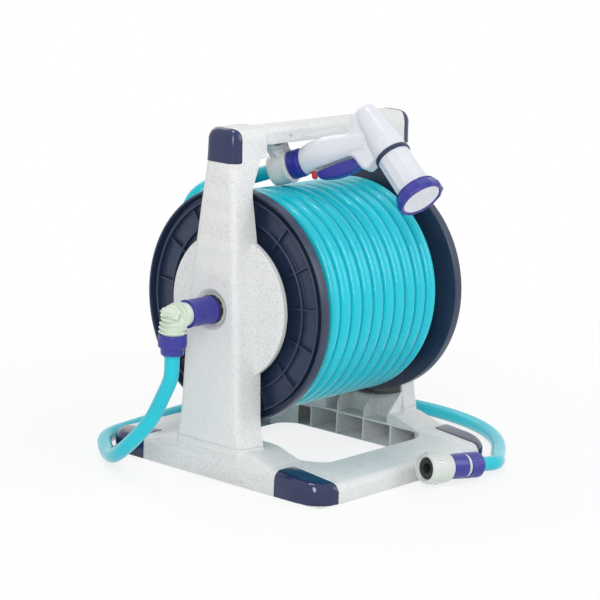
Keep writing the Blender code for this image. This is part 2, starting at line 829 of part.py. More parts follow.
# The nozzle's frame: its X axis is the grip, its Z axis points to the back of the hand.
nozzle_frame = bpy.data.objects.new("nozzle_frame", None)
reel.objects.link(nozzle_frame)
nozzle_turn = (
    Matrix.Rotation(math.radians(NOZZLE_TURN - 90), 4, "Z")
    @ Matrix.Rotation(math.radians(-NOZZLE_LIFT), 4, "Y")
    @ Matrix.Rotation(math.radians(-NOZZLE_ROLL), 4, "X")
)
nozzle_frame.location = NOZZLE_MOUTH
nozzle_frame.rotation_euler = nozzle_turn.to_euler()
nozzle_matrix = Matrix.Translation(NOZZLE_MOUTH) @ nozzle_turn
nozzle_way = np.array(nozzle_turn.to_3x3() @ Vector((1, 0, 0)))


def in_nozzle(obj, location=None, rotation=None):
    """Hangs a piece in the nozzle's frame."""
    obj.parent = nozzle_frame
    if location is not None:
        obj.location = location
    if rotation is not None:
        obj.rotation_euler = rotation
    return obj


def along_grip(name, profile, finish=None, steps=16, hollow=True):
    """A turned piece whose axis is the grip, heights measured forward from the cup's mouth."""
    return in_nozzle(turned(name, profile, finish, steps, hollow), (0, 0, 0), (0, math.pi / 2, 0))


def along_barrel(name, profile, finish=None, steps=16, hollow=True):
    """A turned piece whose axis is the spray barrel, heights measured from the head's middle."""
    tilt = math.radians(90 + HEAD_ANGLE)
    return in_nozzle(turned(name, profile, finish, steps, hollow), (HEAD_FORWARD, 0, 0), (0, tilt, 0))


# Holder: a cup hung from a hollow bracket whose root sits inside the handle.
nozzle_holder = along_grip(
    "nozzle_holder",
    [
        (CUP_BORE - 0.002, 0),
        (CUP_RADIUS, 0),
        (CUP_RADIUS - 0.0020, -CUP_LENGTH),
        (CUP_BORE - 0.002, -CUP_LENGTH),
    ],
    "speckled",
)
bracket_half = HANDLE_HALF_Y - WALL - 0.0007
bracket_levels = (
    (HANDLE_TOP - WALL - 0.0040, -0.090, -0.036, -bracket_half, bracket_half),
    (HANDLE_LOW - 0.0010, -0.090, -0.036, -bracket_half, bracket_half),
    (HANDLE_LOW - 0.0055, -0.086, -0.036, -0.0020, 0.0150),
    (HANDLE_LOW - 0.0140, -0.072, -0.034, 0.0075, 0.0190),
    (HANDLE_LOW - 0.0240, -0.060, -0.034, 0.0060, 0.0220),
    (HANDLE_LOW - 0.0320, -0.058, -0.036, 0.0060, 0.0200),
)


def bracket_ring(level, wall):
    """One level of the bracket. Its channel, a wall in, runs out through the front."""
    z, low, high, front, back = level
    front = front - 0.010 if wall else front
    return [
        (low + wall, front, z),
        (high - wall, front, z),
        (high - wall, back - wall, z),
        (low + wall, back - wall, z),
    ]


bracket = loft("holder_bracket", [bracket_ring(level, 0) for level in bracket_levels])
channel_levels = [(HANDLE_TOP - 0.0105, *bracket_levels[0][1:]), *bracket_levels[1:3]]
bracket_channel = loft("holder_channel", [bracket_ring(level, WALL) for level in channel_levels])
cut(bracket, bracket_channel)
join(nozzle_holder, bracket, solver="MANIFOLD")
cut(
    nozzle_holder,
    in_nozzle(rod("cup_bore", (-CUP_LENGTH - 0.0316, 0, 0), (0.040, 0, 0), CUP_BORE, sides=32)),
    in_nozzle(
        block("cup_front", (-0.020, -0.030, -0.030), (0.020, 0.030, 0.032)), (0.0201, 0, 0.001)
    ),
    solver="MANIFOLD",
)
pin_x, pin_z = HOLDER_PIN
pin_hole = rod(
    "holder_pin_hole",
    (pin_x, -HANDLE_HALF_Y - 0.008, pin_z),
    (pin_x, HANDLE_HALF_Y + 0.008, pin_z),
    SCREW_RADIUS + GAP,
    sides=10,
)
cut(nozzle_holder, pin_hole)
cut(carry_handle, pin_hole)
rod(
    "holder_pin",
    (pin_x, -HANDLE_HALF_Y + 0.0002, pin_z),
    (pin_x, HANDLE_HALF_Y - 0.0002, pin_z),
    SCREW_RADIUS,
    "steel",
    sides=10,
)

# Drum flanges: a thin web with a deep rim, two ring ribs and radial ribs on the outer face.
for side in (-1, 1):
    end = "left" if side < 0 else "right"
    web = FLANGE_INNER_X + WALL
    seat_radius = BARREL_RADIUS - BARREL_WALL - GAP
    flange = on_axle(
        side,
        f"{end}_flange",
        [
            (BUSH_BORE, web),
            (FLANGE_RADIUS - 0.042, web),
            (FLANGE_RADIUS - 0.042, FLANGE_OUTER_X - 0.0045),
            (FLANGE_RADIUS - 0.039, FLANGE_OUTER_X - 0.0045),
            (FLANGE_RADIUS - 0.039, web),
            (FLANGE_RADIUS - 0.014, web),
            (FLANGE_RADIUS - 0.014, FLANGE_OUTER_X - 0.003),
            (FLANGE_RADIUS - 0.011, FLANGE_OUTER_X - 0.003),
            (FLANGE_RADIUS - 0.011, web),
            (FLANGE_RADIUS - 0.0045, web),
            (FLANGE_RADIUS - 0.003, FLANGE_OUTER_X),
            (FLANGE_RADIUS, FLANGE_OUTER_X),
            (FLANGE_RADIUS, FLANGE_INNER_X),
            (seat_radius, FLANGE_INNER_X),
            (seat_radius, FLANGE_INNER_X - 0.006),
            (seat_radius - 0.0037, FLANGE_INNER_X - 0.006),
            (seat_radius - 0.0037, FLANGE_INNER_X),
            (BUSH_BORE, FLANGE_INNER_X),
        ],
        "navy",
        steps=DRUM_STEPS,
    )
    spokes = []
    for number in range(15):
        turn = math.radians(RIB_ANGLE * number)
        spokes.append(
            block(
                f"{end}_spoke_{number}",
                (-0.003, -0.0012, -0.0219),
                (0.003, 0.0012, 0.0219),
            )
        )
        reach = FLANGE_RADIUS - 0.0349
        spokes[-1].location = (
            side * (web + 0.0025),
            reach * math.cos(turn),
            AXLE_HEIGHT + reach * math.sin(turn),
        )
        spokes[-1].rotation_euler = (turn - math.pi / 2, 0, 0)
    join(flange, *spokes)

drum_barrel = on_axle(
    1,
    "drum_barrel",
    [
        (BARREL_RADIUS - BARREL_WALL, FLANGE_INNER_X - GAP),
        (BARREL_RADIUS, FLANGE_INNER_X - GAP),
        (BARREL_RADIUS, -FLANGE_INNER_X + GAP),
        (BARREL_RADIUS - BARREL_WALL, -FLANGE_INNER_X + GAP),
    ],
    "navy",
    steps=DRUM_STEPS,
)
outlet_x = -0.095
cut(
    drum_barrel,
    rod(
        "outlet_hole",
        (outlet_x, 0, AXLE_HEIGHT + BARREL_RADIUS - 0.015),
        (outlet_x, 0, AXLE_HEIGHT + BARREL_RADIUS + 0.015),
        BRANCH_RADIUS + 0.0007,
        sides=12,
    ),
)

hose_inner_layers = on_axle(
    1,
    "hose_inner_layers",
    [
        (BARREL_RADIUS + GAP, FLANGE_INNER_X - GAP),
        (CORE_STEP_RADIUS, FLANGE_INNER_X - GAP),
        (CORE_STEP_RADIUS, CORE_STEP_X),
        (CORE_RADIUS, CORE_STEP_X),
        (CORE_RADIUS, -FLANGE_INNER_X + GAP),
        (BARREL_RADIUS + GAP, -FLANGE_INNER_X + GAP),
    ],
    "cyan_inner",
    steps=DRUM_STEPS,
)

# The inlet's rotating spindle, hollow, with one branch to the hose inside the drum.
groove_x = SPINDLE_END_X - 0.0125
water_spindle = on_axle(
    -1,
    "water_spindle",
    [
        (SPINDLE_BORE, SPINDLE_END_X),
        (SPINDLE_RADIUS, SPINDLE_END_X),
        (SPINDLE_RADIUS, groove_x + 0.0040),
        (SPINDLE_RADIUS - 0.0018, groove_x + 0.0040),
        (SPINDLE_RADIUS - 0.0018, groove_x),
        (SPINDLE_RADIUS, groove_x),
        (SPINDLE_RADIUS, FLANGE_INNER_X - GAP),
        (HUB_FLANGE_RADIUS, FLANGE_INNER_X - GAP),
        (HUB_FLANGE_RADIUS, FLANGE_INNER_X - GAP - 0.004),
        (0.0125, FLANGE_INNER_X - GAP - 0.004),
        (0.0125, -outlet_x - 0.017),
        (0, -outlet_x - 0.017),
        (0, -outlet_x - 0.013),
        (SPINDLE_BORE, -outlet_x - 0.013),
    ],
    "white",
    steps=16,
)
branch = rod(
    "spindle_branch",
    (outlet_x, 0, AXLE_HEIGHT + 0.004),
    (outlet_x, 0, AXLE_HEIGHT + BARREL_RADIUS - 0.0015),
    BRANCH_RADIUS,
    sides=10,
)
branch_bore = rod(
    "branch_bore",
    (outlet_x, 0, AXLE_HEIGHT),
    (outlet_x, 0, AXLE_HEIGHT + BARREL_RADIUS + 0.005),
    0.006,
    sides=8,
)
spindle_bore = rod(
    "spindle_bore",
    (-SPINDLE_END_X - 0.005, 0, AXLE_HEIGHT),
    (outlet_x + 0.012, 0, AXLE_HEIGHT),
    SPINDLE_BORE - 0.0001,
    sides=16,
)
join(water_spindle, branch)
cut(water_spindle, branch_bore, spindle_bore)
on_axle(
    -1,
    "spindle_seal",
    [
        (SPINDLE_RADIUS - 0.0015, groove_x + 0.0036),
        (SPINDLE_RADIUS + 0.00005, groove_x + 0.0036),
        (SPINDLE_RADIUS + 0.00005, groove_x + 0.0004),
        (SPINDLE_RADIUS - 0.0015, groove_x + 0.0004),
    ],
    "black",
    steps=16,
)

# The crank side's axle, arm and knob.
axle_seat = rod(
    "axle_seat",
    (CRANK_INNER_X - 0.018, 0, AXLE_HEIGHT),
    (CRANK_INNER_X + CRANK_THICKNESS - 0.0005, 0, AXLE_HEIGHT),
    0.010,
    sides=6,
)
crank_axle = on_axle(
    1,
    "crank_axle",
    [
        (0, CRANK_INNER_X - 0.0025),
        (SPINDLE_RADIUS, CRANK_INNER_X - 0.0025),
        (SPINDLE_RADIUS, FLANGE_INNER_X - GAP),
        (HUB_FLANGE_RADIUS, FLANGE_INNER_X - GAP),
        (HUB_FLANGE_RADIUS, FLANGE_INNER_X - GAP - 0.004),
        (0, FLANGE_INNER_X - GAP - 0.004),
    ],
    "white",
    steps=16,
    hollow=False,
)
join(crank_axle, axle_seat)
crank_hole = rod(
    "crank_screw_hole",
    (CRANK_INNER_X - 0.013, 0, AXLE_HEIGHT),
    (CRANK_INNER_X + 0.032, 0, AXLE_HEIGHT),
    SCREW_RADIUS + GAP,
    sides=16,
)
cut(crank_axle, crank_hole)

crank_outline = []
for turn in range(90, 271, 30):
    crank_outline.append((0.018 * math.cos(math.radians(turn)), 0.018 * math.sin(math.radians(turn))))
for turn in range(-90, 91, 30):
    crank_outline.append(
        (CRANK_LENGTH + 0.013 * math.cos(math.radians(turn)), 0.013 * math.sin(math.radians(turn)))
    )
crank_way = math.radians(CRANK_ANGLE)
crank_place = (CRANK_INNER_X + CRANK_THICKNESS / 2, 0, AXLE_HEIGHT)
crank_arm = plate("crank_arm", crank_outline, CRANK_THICKNESS, "navy")
crank_arm.location = crank_place
outline_to_side = Matrix(((0, 0, 1), (1, 0, 0), (0, 1, 0)))
crank_arm.rotation_euler = (Matrix.Rotation(crank_way, 3, "X") @ outline_to_side).to_euler()
knob_y = CRANK_LENGTH * math.cos(crank_way)
knob_z = AXLE_HEIGHT + CRANK_LENGTH * math.sin(crank_way)
cut(
    crank_arm,
    rod(
        "crank_seat_hole",
        (CRANK_INNER_X - 0.008, 0, AXLE_HEIGHT),
        (CRANK_INNER_X + CRANK_THICKNESS - 0.003, 0, AXLE_HEIGHT),
        0.010 + 0.0004,
        sides=6,
    ),
    rod(
        "knob_pin_hole",
        (CRANK_INNER_X - 0.008, knob_y, knob_z),
        (CRANK_INNER_X + CRANK_THICKNESS + 0.007, knob_y, knob_z),
        KNOB_PIN_RADIUS + GAP,
        sides=20,
    ),
    crank_hole,
    solver="MANIFOLD",
)
axle_seat_end = CRANK_INNER_X + CRANK_THICKNESS - 0.003 - GAP
cut(
    crank_axle,
    block(
        "axle_seat_trim",
        (axle_seat_end, -0.020, AXLE_HEIGHT - 0.020),
        (CRANK_INNER_X + 0.032, 0.020, AXLE_HEIGHT + 0.020),
    ),
)
crank_screw = on_axle(
    1,
    "crank_screw",
    [
        (0, CRANK_INNER_X + CRANK_THICKNESS + GAP + 0.0028),
        (0.0045, CRANK_INNER_X + CRANK_THICKNESS + GAP + 0.0022),
        (0.0050, CRANK_INNER_X + CRANK_THICKNESS + GAP),
        (SCREW_RADIUS, CRANK_INNER_X + CRANK_THICKNESS + GAP),
        (SCREW_RADIUS, CRANK_INNER_X - 0.011),
        (0, CRANK_INNER_X - 0.011),
    ],
    "steel",
    steps=16,
    hollow=False,
)
pin_end = KNOB_END_X - 0.0123
knob_pin = turned(
    "knob_pin",
    [
        (0, pin_end),
        (KNOB_PIN_RADIUS - 0.001, pin_end),
        (KNOB_PIN_RADIUS, pin_end - 0.001),
        (KNOB_PIN_RADIUS, CRANK_INNER_X - GAP),
        (0.0090, CRANK_INNER_X - GAP),
        (0.0090, CRANK_INNER_X - GAP - 0.0030),
        (0, CRANK_INNER_X - GAP - 0.0030),
    ],
    "steel",
    steps=16,
    hollow=False,
)
knob_start = CRANK_INNER_X + CRANK_THICKNESS + 0.0010
crank_knob = turned(
    "crank_knob",
    [
        (0, KNOB_END_X),
        (0.0110, KNOB_END_X - 0.0006),
        (0.0150, KNOB_END_X - 0.0045),
        (0.0165, KNOB_END_X - 0.0120),
        (0.0150, KNOB_END_X - 0.0330),
        (0.0125, KNOB_END_X - 0.0520),
        (0.0128, knob_start),
        (KNOB_PIN_RADIUS + GAP, knob_start),
        (KNOB_PIN_RADIUS + GAP, pin_end + 0.001),
        (0, pin_end + 0.001),
    ],
    "black",
    steps=16,
    hollow=False,
)
for piece in (knob_pin, crank_knob):
    piece.location = (0, knob_y, knob_z)
    piece.rotation_euler = (0, math.pi / 2, 0)

# Inlet connector: collar, claw ring, ribbed elbow and nut, all turning on the spindle.
connector_collar = on_axle(
    -1,
    "connector_collar",
    [
        (0.0100, -COLLAR_END_X),
        (COLLAR_RADIUS, -COLLAR_END_X),
        (COLLAR_RADIUS, -COLLAR_START_X),
        (SPINDLE_RADIUS + 0.0004, -COLLAR_START_X),
        (SPINDLE_RADIUS + 0.0004, SPINDLE_END_X + 0.0008),
        (0.0100, SPINDLE_END_X + 0.0008),
    ],
    "purple",
    steps=16,
)
claw_x = -COLLAR_START_X - 0.0057
claw_ring = on_axle(
    -1,
    "claw_ring",
    [
        (SPINDLE_RADIUS + 0.0004, -COLLAR_START_X - GAP),
        (0.0195, -COLLAR_START_X - GAP),
        (0.0195, claw_x),
        (SPINDLE_RADIUS + 0.0004, claw_x),
    ],
    "black",
    steps=16,
)
for number in range(4):
    turn = math.pi / 4 * number + math.pi / 8
    notch = block(f"claw_notch_{number}", (-0.0022, -0.025, -0.0024), (0.0022, 0.025, 0.0024))
    notch.location = (-claw_x + 0.0004, 0, AXLE_HEIGHT)
    notch.rotation_euler = (turn, 0, 0)
    cut(claw_ring, notch)

elbow_centre = np.array([COLLAR_END_X - 0.0005, 0, AXLE_HEIGHT - ELBOW_BEND])
elbow_x = elbow_centre[0] - ELBOW_BEND


def bend_station(degrees):
    """The elbow's middle at an angle round its bend, and the way the water runs there."""
    turn = math.radians(degrees)
    place = elbow_centre + ELBOW_BEND * np.array([math.cos(turn), 0, math.sin(turn)])
    return place, np.array([-math.sin(turn), 0, math.cos(turn)])


def swept(name, start_x, end_z, radius, sides, finish=None):
    """A round pipe from the collar's end, round the bend and down."""
    stations = [bend_station(90 + 15 * step) for step in range(7)]
    stations.insert(0, (np.array([start_x, 0, AXLE_HEIGHT]), stations[0][1]))
    stations.append((np.array([elbow_x, 0, end_z]), stations[-1][1]))
    rings = []
    for place, way in stations:
        across = np.array([-way[2], 0, way[0]])
        turns = [2 * math.pi * number / sides for number in range(sides)]
        beside = np.array([0, 1, 0])
        rings.append(
            [tuple(place + radius * (math.cos(a) * across + math.sin(a) * beside)) for a in turns]
        )
    return loft(name, rings, finish)


ribbed_elbow = swept("ribbed_elbow", COLLAR_END_X - GAP, ELBOW_LOW, ELBOW_RADIUS, 12, "cream")
for number in range(ELBOW_RIBS):
    middle, way = bend_station(96.5 + 77 * number / (ELBOW_RIBS - 1))
    half = ELBOW_RIB_THICKNESS / 2 * way
    rib = rod(f"elbow_rib_{number}", middle - half, middle + half, ELBOW_RIB_RADIUS, sides=12)
    join(ribbed_elbow, rib, solver="MANIFOLD")
elbow_bore = swept("elbow_bore", COLLAR_END_X + 0.008, ELBOW_LOW - 0.0073, 0.009, 6)
cut(ribbed_elbow, elbow_bore, solver="MANIFOLD")
elbow_nut = turned(
    "elbow_nut",
    [
        (0.009, ELBOW_LOW - GAP),
        (COLLAR_RADIUS, ELBOW_LOW - GAP),
        (COLLAR_RADIUS, NUT_LOW + 0.0110),
        (0.0165, NUT_LOW + 0.0090),
        (0.0165, NUT_LOW),
        (0.009, NUT_LOW),
    ],
    "purple",
    steps=16,
)
elbow_nut.location = (elbow_x, 0, 0)

# Winding: ten turns round the core, the last crossing to the far flange and down one layer.


def eased(share):
    """A smooth step from 0 to 1."""
    share = min(max(share, 0), 1)
    return share * share * (3 - 2 * share)


def winding_place(turns):
    """The hose's middle after a number of turns from its outer end."""
    angle = WINDING_FIRST_ANGLE - 360 * turns
    x = WINDING_FRONT_X - TURN_PITCH * (angle + 180) / 360
    radius = WINDING_RADIUS
    share = (turns - CROSSING_START) / CROSSING_TURNS
    if share > 0:
        start_angle = WINDING_FIRST_ANGLE - 360 * CROSSING_START
        x_start = WINDING_FRONT_X - TURN_PITCH * (start_angle + 180) / 360
        x = x_start + (CROSSING_END_X - x_start) * eased(share / 0.6)
        radius += (WINDING_END_RADIUS - radius) * eased((share - 0.35) / 0.65)
    turn = math.radians(angle)
    return np.array([x, radius * math.cos(turn), AXLE_HEIGHT + radius * math.sin(turn)])


winding_turns = CROSSING_START + CROSSING_TURNS
count = round(winding_turns * POINTS_PER_TURN)
winding = [winding_place(winding_turns * i / count) for i in range(count + 1)]
first_way = np.array(
    [0, -math.sin(math.radians(WINDING_FIRST_ANGLE)), math.cos(math.radians(WINDING_FIRST_ANGLE))]
)
last_angle = math.radians(WINDING_FIRST_ANGLE - 360 * winding_turns)
last_way = np.array([0, math.sin(last_angle), -math.cos(last_angle)])
winding_first = winding[0] + LAST_STRAIGHT * first_way
winding_last = winding[-1] + LAST_STRAIGHT * last_way
winding = [winding_first, *winding, winding_last]
tube("hose_winding", winding, HOSE_RADIUS, "cyan", 1)

dense = np.array([winding_place(winding_turns * i / 2400) for i in range(2401)])
least = min(
    np.linalg.norm(dense[120:] - dense[i], axis=1)[max(0, i):].min()
    for i in range(0, len(dense) - 240, 6)
)
print(f"least gap between the winding's turns {1000 * (least - 2 * HOSE_RADIUS):.2f} mm")

# The stop where the outer layer dives between the inner layers and the far flange.
stop_middle = winding_last + (GAP + 0.019) * last_way
dive_stop = block("dive_stop", (-0.0105, -0.019, -0.0160), (0.0105, 0.019, 0.0160))
stop_middle -= 0.006 * np.array([0, math.cos(last_angle), math.sin(last_angle)])
dive_stop.location = (0.1215, stop_middle[1], stop_middle[2])
dive_stop.rotation_euler = (math.atan2(last_way[2], last_way[1]), 0, 0)
join(hose_inner_layers, dive_stop)

# Leader: from the winding's outer end over the drum into the nozzle's tail.
tail_end = np.array(NOZZLE_MOUTH) - (CUP_LENGTH + 0.0016 + GAP) * nozzle_way
leader = [winding_first + GAP * first_way, winding_first + 0.018 * first_way]
leader_bend = smooth_route(
    [leader[-1], (-0.1100, 0.1060, 0.3620), tail_end - 0.022 * nozzle_way], first_way, nozzle_way
)
leader_points = [leader[0], *spaced(leader_bend, 0.014), tail_end]
tube("leader_hose", leader_points, HOSE_RADIUS, "cyan", 3)

# Nozzle body: an oval grip, a head along the spray barrel, and the neck that joins them.
along_grip(
    "nozzle_collar",
    [
        (0.0060, 0.0197),
        (0.0190, 0.0197),
        (0.0200, 0.0004),
        (NOZZLE_TAIL_RADIUS, 0.0004),
        (NOZZLE_TAIL_RADIUS, -CUP_LENGTH - 0.0006),
        (NOZZLE_TAIL_RADIUS - 0.001, -CUP_LENGTH - 0.0016),
        (0.0060, -CUP_LENGTH - 0.0016),
    ],
    "purple",
)
grip_levels = (
    (0.0200, 0.0190, -0.0185, 0.0185),
    (0.0300, 0.0226, -0.0188, 0.0196),
    (0.0550, 0.0258, -0.0174, 0.0200),
    (0.0720, 0.0242, -0.0158, 0.0196),
    (0.0850, 0.0215, -0.0148, 0.0190),
    (0.1180, 0.0190, -0.0160, 0.0180),
)
grip_rings = []
for x, top, bottom, half in grip_levels:
    ring = []
    for k in range(14):
        turn = 2 * math.pi * k / 14
        rise = top if math.sin(turn) > 0 else -bottom
        ring.append((x, half * math.cos(turn), rise * math.sin(turn)))
    grip_rings.append(ring)
nozzle_body = in_nozzle(loft("nozzle_body", grip_rings, "lavender"))
head = along_barrel(
    "nozzle_head",
    [
        (0, 0.0260),
        (0.0236, 0.0260),
        (0.0222, 0.0020),
        (0.0175, -0.0380),
        (0.0150, -0.0500),
        (0, -0.0555),
    ],
    steps=16,
    hollow=False,
)
neck = plate(
    "nozzle_neck",
    [
        (0.085, 0.018),
        (0.096, 0.0190),
        (0.1005, 0.0260),
        (0.1020, 0.0420),
        (0.122, 0.045),
        (0.146, 0.010),
        (0.140, -0.020),
        (0.1215, -0.0335),
        (0.1150, -0.0375),
        (0.1085, -0.0360),
        (0.1035, -0.0290),
        (0.0990, -0.0190),
        (0.0920, -0.0135),
        (0.085, -0.010),
    ],
    0.027,
    round_over=0.003,
)
in_nozzle(neck, (0, 0, 0), (math.pi / 2, 0, 0))
join(nozzle_body, head, neck, solver="MANIFOLD")

trigger_outline = [
    (0.0380, -0.0205),
    (0.0640, -0.0180),
    (0.0920, -0.0160),
    (0.1010, -0.0200),
    (0.1075, -0.0195),
    (0.1110, -0.0225),
    (0.1105, -0.0265),
    (0.1060, -0.0290),
    (0.0960, -0.0325),
    (0.0800, -0.0350),
    (0.0620, -0.0355),
    (0.0400, -0.0310),
]
slot_outline = [
    (0.0365, -0.0250),
    (0.0365, -0.0115),
    (0.0640, -0.0110),
    (0.0920, -0.0105),
    (0.1010, -0.0145),
    (0.1080, -0.0160),
    (0.1135, -0.0195),
    (0.1140, -0.0270),
    (0.1100, -0.0320),
    (0.1060, -0.0420),
    (0.0800, -0.0420),
    (0.0400, -0.0380),
]
pivot_x, pivot_z = TRIGGER_PIVOT
upright = (math.pi / 2, 0, 0)
trigger = plate(
    "trigger",
    [(x - pivot_x, z - pivot_z) for x, z in trigger_outline],
    2 * TRIGGER_HALF_WIDTH,
    "purple",
    0.0012,
)
in_nozzle(trigger, (pivot_x, 0, pivot_z), upright)
slot = plate("trigger_slot", slot_outline, 2 * TRIGGER_HALF_WIDTH + 0.001)
in_nozzle(slot, (0, 0, 0), upright)
pin_ends = [Vector((pivot_x, way * 0.0132, pivot_z)) for way in (-1, 1)]
pin_hole_ends = [Vector((pivot_x, way * 0.0160, pivot_z)) for way in (-1, 1)]
in_nozzle(rod("trigger_pin", *pin_ends, TRIGGER_PIN_RADIUS, "steel", sides=10))
pin_bore = in_nozzle(rod("trigger_pin_bore", *pin_hole_ends, TRIGGER_PIN_RADIUS + GAP, sides=12))
cut(trigger, pin_bore, solver="MANIFOLD")
lock = in_nozzle(
    block("trigger_lock", (-0.0025, -0.0040, -0.0075), (0.0025, 0.0040, 0.0075), "red", 0.001),
    (LOCK_X, 0, LOCK_Z),
)
lock_slot = in_nozzle(
    block("trigger_lock_slot", (-0.00465, -0.0043, -0.0078), (0.00465, 0.0043, 0.0078)),
    (LOCK_X - LOCK_TRAVEL / 2, 0, LOCK_Z),
)
grip_bore = in_nozzle(rod("grip_bore", (0.010, 0, 0.002), (0.125, 0, 0.002), 0.006, sides=12))
head_way = Vector((math.cos(math.radians(HEAD_ANGLE)), 0, -math.sin(math.radians(HEAD_ANGLE))))
head_middle = Vector((HEAD_FORWARD, 0, 0))
head_bore = in_nozzle(
    rod("head_bore", head_middle - 0.035 * head_way, head_middle + 0.040 * head_way, 0.0135, sides=16)
)
cut(nozzle_body, slot, lock_slot, pin_bore, grip_bore, head_bore, solver="MANIFOLD")

along_barrel(
    "nozzle_band",
    [
        (0.0135, BARREL_START - GAP),
        (0.0249, BARREL_START - GAP),
        (0.0249, BAND_START),
        (0.0135, BAND_START),
    ],
    "navy_gloss",
)
along_barrel(
    "spray_barrel",
    [
        (0.0135, NOZZLE_FACE - 0.006),
        (0.0226, NOZZLE_FACE - 0.006),
        (0.0226, RING_START - GAP),
        (0.0240, RING_START - GAP),
        (0.0236, 0.0700),
        (0.0232, BARREL_START + 0.006),
        (0.0228, BARREL_START),
        (0.0135, BARREL_START),
    ],
    "lavender",
)
along_barrel(
    "spray_ring",
    [
        (0.0275, NOZZLE_FACE + 0.001),
        (0.0310, NOZZLE_FACE + 0.001),
        (0.0332, NOZZLE_FACE - 0.001),
        (0.0330, NOZZLE_FACE - 0.006),
        (0.0288, RING_START),
        (0.0234, RING_START),
        (0.0234, NOZZLE_FACE - 0.0035),
        (0.0275, NOZZLE_FACE - 0.0035),
    ],
    "purple",
    steps=16,
)
along_barrel(
    "spray_face",
    [
        (0, NOZZLE_FACE),
        (0.0262, NOZZLE_FACE),
        (0.0272, NOZZLE_FACE - 0.001),
        (0.0272, NOZZLE_FACE - 0.0032),
        (0, NOZZLE_FACE - 0.0032),
    ],
    "white",
    steps=16,
    hollow=False,
)
along_barrel(
    "valve_stem",
    [
        (0, 0.0600),
        (0.0090, 0.0600),
        (0.0030, 0.0540),
        (0.0030, -0.0200),
        (0.0060, -0.0230),
        (0, -0.0260),
    ],
    "steel",
    steps=16,
    hollow=False,
)

# Supply hose: down from the elbow's nut, round behind the base and back to the front.
floor = HOSE_RADIUS + 0.0004
tap_way = np.array(TAP_AXIS) / np.linalg.norm(TAP_AXIS)
hose_top = np.array([elbow_x, 0, NUT_LOW - GAP])
hose_end = np.array(TAP_START) - GAP * tap_way
supply_route = [
    hose_top + np.array([0, 0, -0.022]),
    (-0.2620, 0.010, 0.128),
    (-0.2650, 0.032, 0.086),
    (-0.2680, 0.064, 0.050),
    (-0.2580, 0.100, 0.024),
    (-0.2360, 0.136, 0.0120),
    (-0.2090, 0.172, floor),
    (-0.1700, 0.2080, floor),
    (-0.1120, 0.222, floor),
    (-0.0440, 0.231, floor),
    (0.0300, 0.238, floor),
    (0.1000, 0.238, floor),
    (0.1700, 0.222, floor),
    (0.2300, 0.180, floor),
    (0.2750, 0.115, floor),
    (0.2970, 0.040, floor),
    (0.2950, -0.050, floor),
    (0.2690, -0.122, floor),
    (0.2180, -0.183, floor),
    (0.1600, -0.225, 0.0120),
    hose_end - 0.022 * tap_way,
]
supply = smooth_route(supply_route, (0, 0, -1), tap_way)
supply = np.array(supply)
supply[:, 2] = np.maximum(supply[:, 2], floor)
supply_points = [hose_top, *spaced(supply, 0.048), hose_end]
tube("supply_hose", supply_points, HOSE_RADIUS, "cyan", 2)


def along_tap(name, profile, finish, steps=16, hollow=True):
    """A turned piece on the tap connector's axis, heights measured from the hose's end."""
    obj = turned(name, profile, finish, steps, hollow)
    obj.location = TAP_START
    obj.rotation_euler = Vector(tap_way).to_track_quat("Z", "Y").to_euler()
    return obj


def sleeve_profile(start, length, radius, bore):
    end = start + length
    return [(bore, end), (radius, end), (radius, start), (bore, start)]


ring_start = TAP_NUT_LENGTH + GAP
sleeve_start = ring_start + TAP_RING_LENGTH + GAP
body_start = sleeve_start + TAP_SLEEVE_LENGTH + GAP
body_end = body_start + TAP_BODY_LENGTH
along_tap("tap_nut", sleeve_profile(0, TAP_NUT_LENGTH, TAP_NUT_RADIUS, 0.008), "purple")
along_tap(
    "tap_ring", sleeve_profile(ring_start, TAP_RING_LENGTH, TAP_NUT_RADIUS - 0.0012, 0.008), "white"
)
along_tap("tap_sleeve", sleeve_profile(sleeve_start, TAP_SLEEVE_LENGTH, TAP_NUT_RADIUS, 0.008), "purple")
tap_body = along_tap(
    "tap_body",
    [
        (0.0150, body_end),
        (TAP_BODY_RADIUS, body_end),
        (TAP_BODY_RADIUS, body_start + 0.0070),
        (TAP_BODY_RADIUS - 0.0040, body_start),
        (0.0080, body_start),
        (0.0080, body_end - 0.0240),
        (0.0150, body_end - 0.0240),
    ],
    "white",
)
along_tap(
    "tap_seal",
    [
        (0.0075, body_end - 0.0040),
        (0.0138, body_end - 0.0040),
        (0.0147, body_end - 0.0055),
        (0.0147, body_end - 0.0237),
        (0.0075, body_end - 0.0237),
    ],
    "black",
    steps=16,
)
tap_basis = Vector(tap_way).to_track_quat("Z", "Y").to_matrix()
for number in range(4):
    turn = math.radians(35 + 90 * number)
    out = tap_basis @ Vector((math.cos(turn), math.sin(turn), 0))
    foot = Vector(TAP_START) + (body_end - 0.0120) * Vector(tap_way)
    hole = rod(f"tap_screw_hole_{number}", foot + 0.0100 * out, foot + 0.0300 * out, 0.0023, sides=8)
    cut(tap_body, hole)
    rod(f"tap_screw_{number}", foot + 0.0152 * out, foot + 0.0212 * out, 0.0020, "steel", sides=8)

# The origin lies under the middle of the box round the reel and its nozzle.
face_way = np.array(nozzle_turn.to_3x3() @ head_way)
face_middle = np.array(nozzle_matrix @ (head_middle + NOZZLE_FACE * head_way))
front_y = face_middle[1] - 0.0332 * math.sqrt(1 - face_way[1] ** 2)
reel_y = -(front_y + BASE_HALF_Y + CAP_PROUD) / 2
for obj in (*reel.objects, *shapers.objects):
    if obj.parent is None:
        obj.location.y += reel_y
print(f"drum axle at y = {1000 * reel_y:.2f} mm")

for obj in reel.objects:
    if obj.type == "MESH":
        obj.data.shade_smooth()
        obj.data.set_sharp_from_angle(angle=math.radians(35))
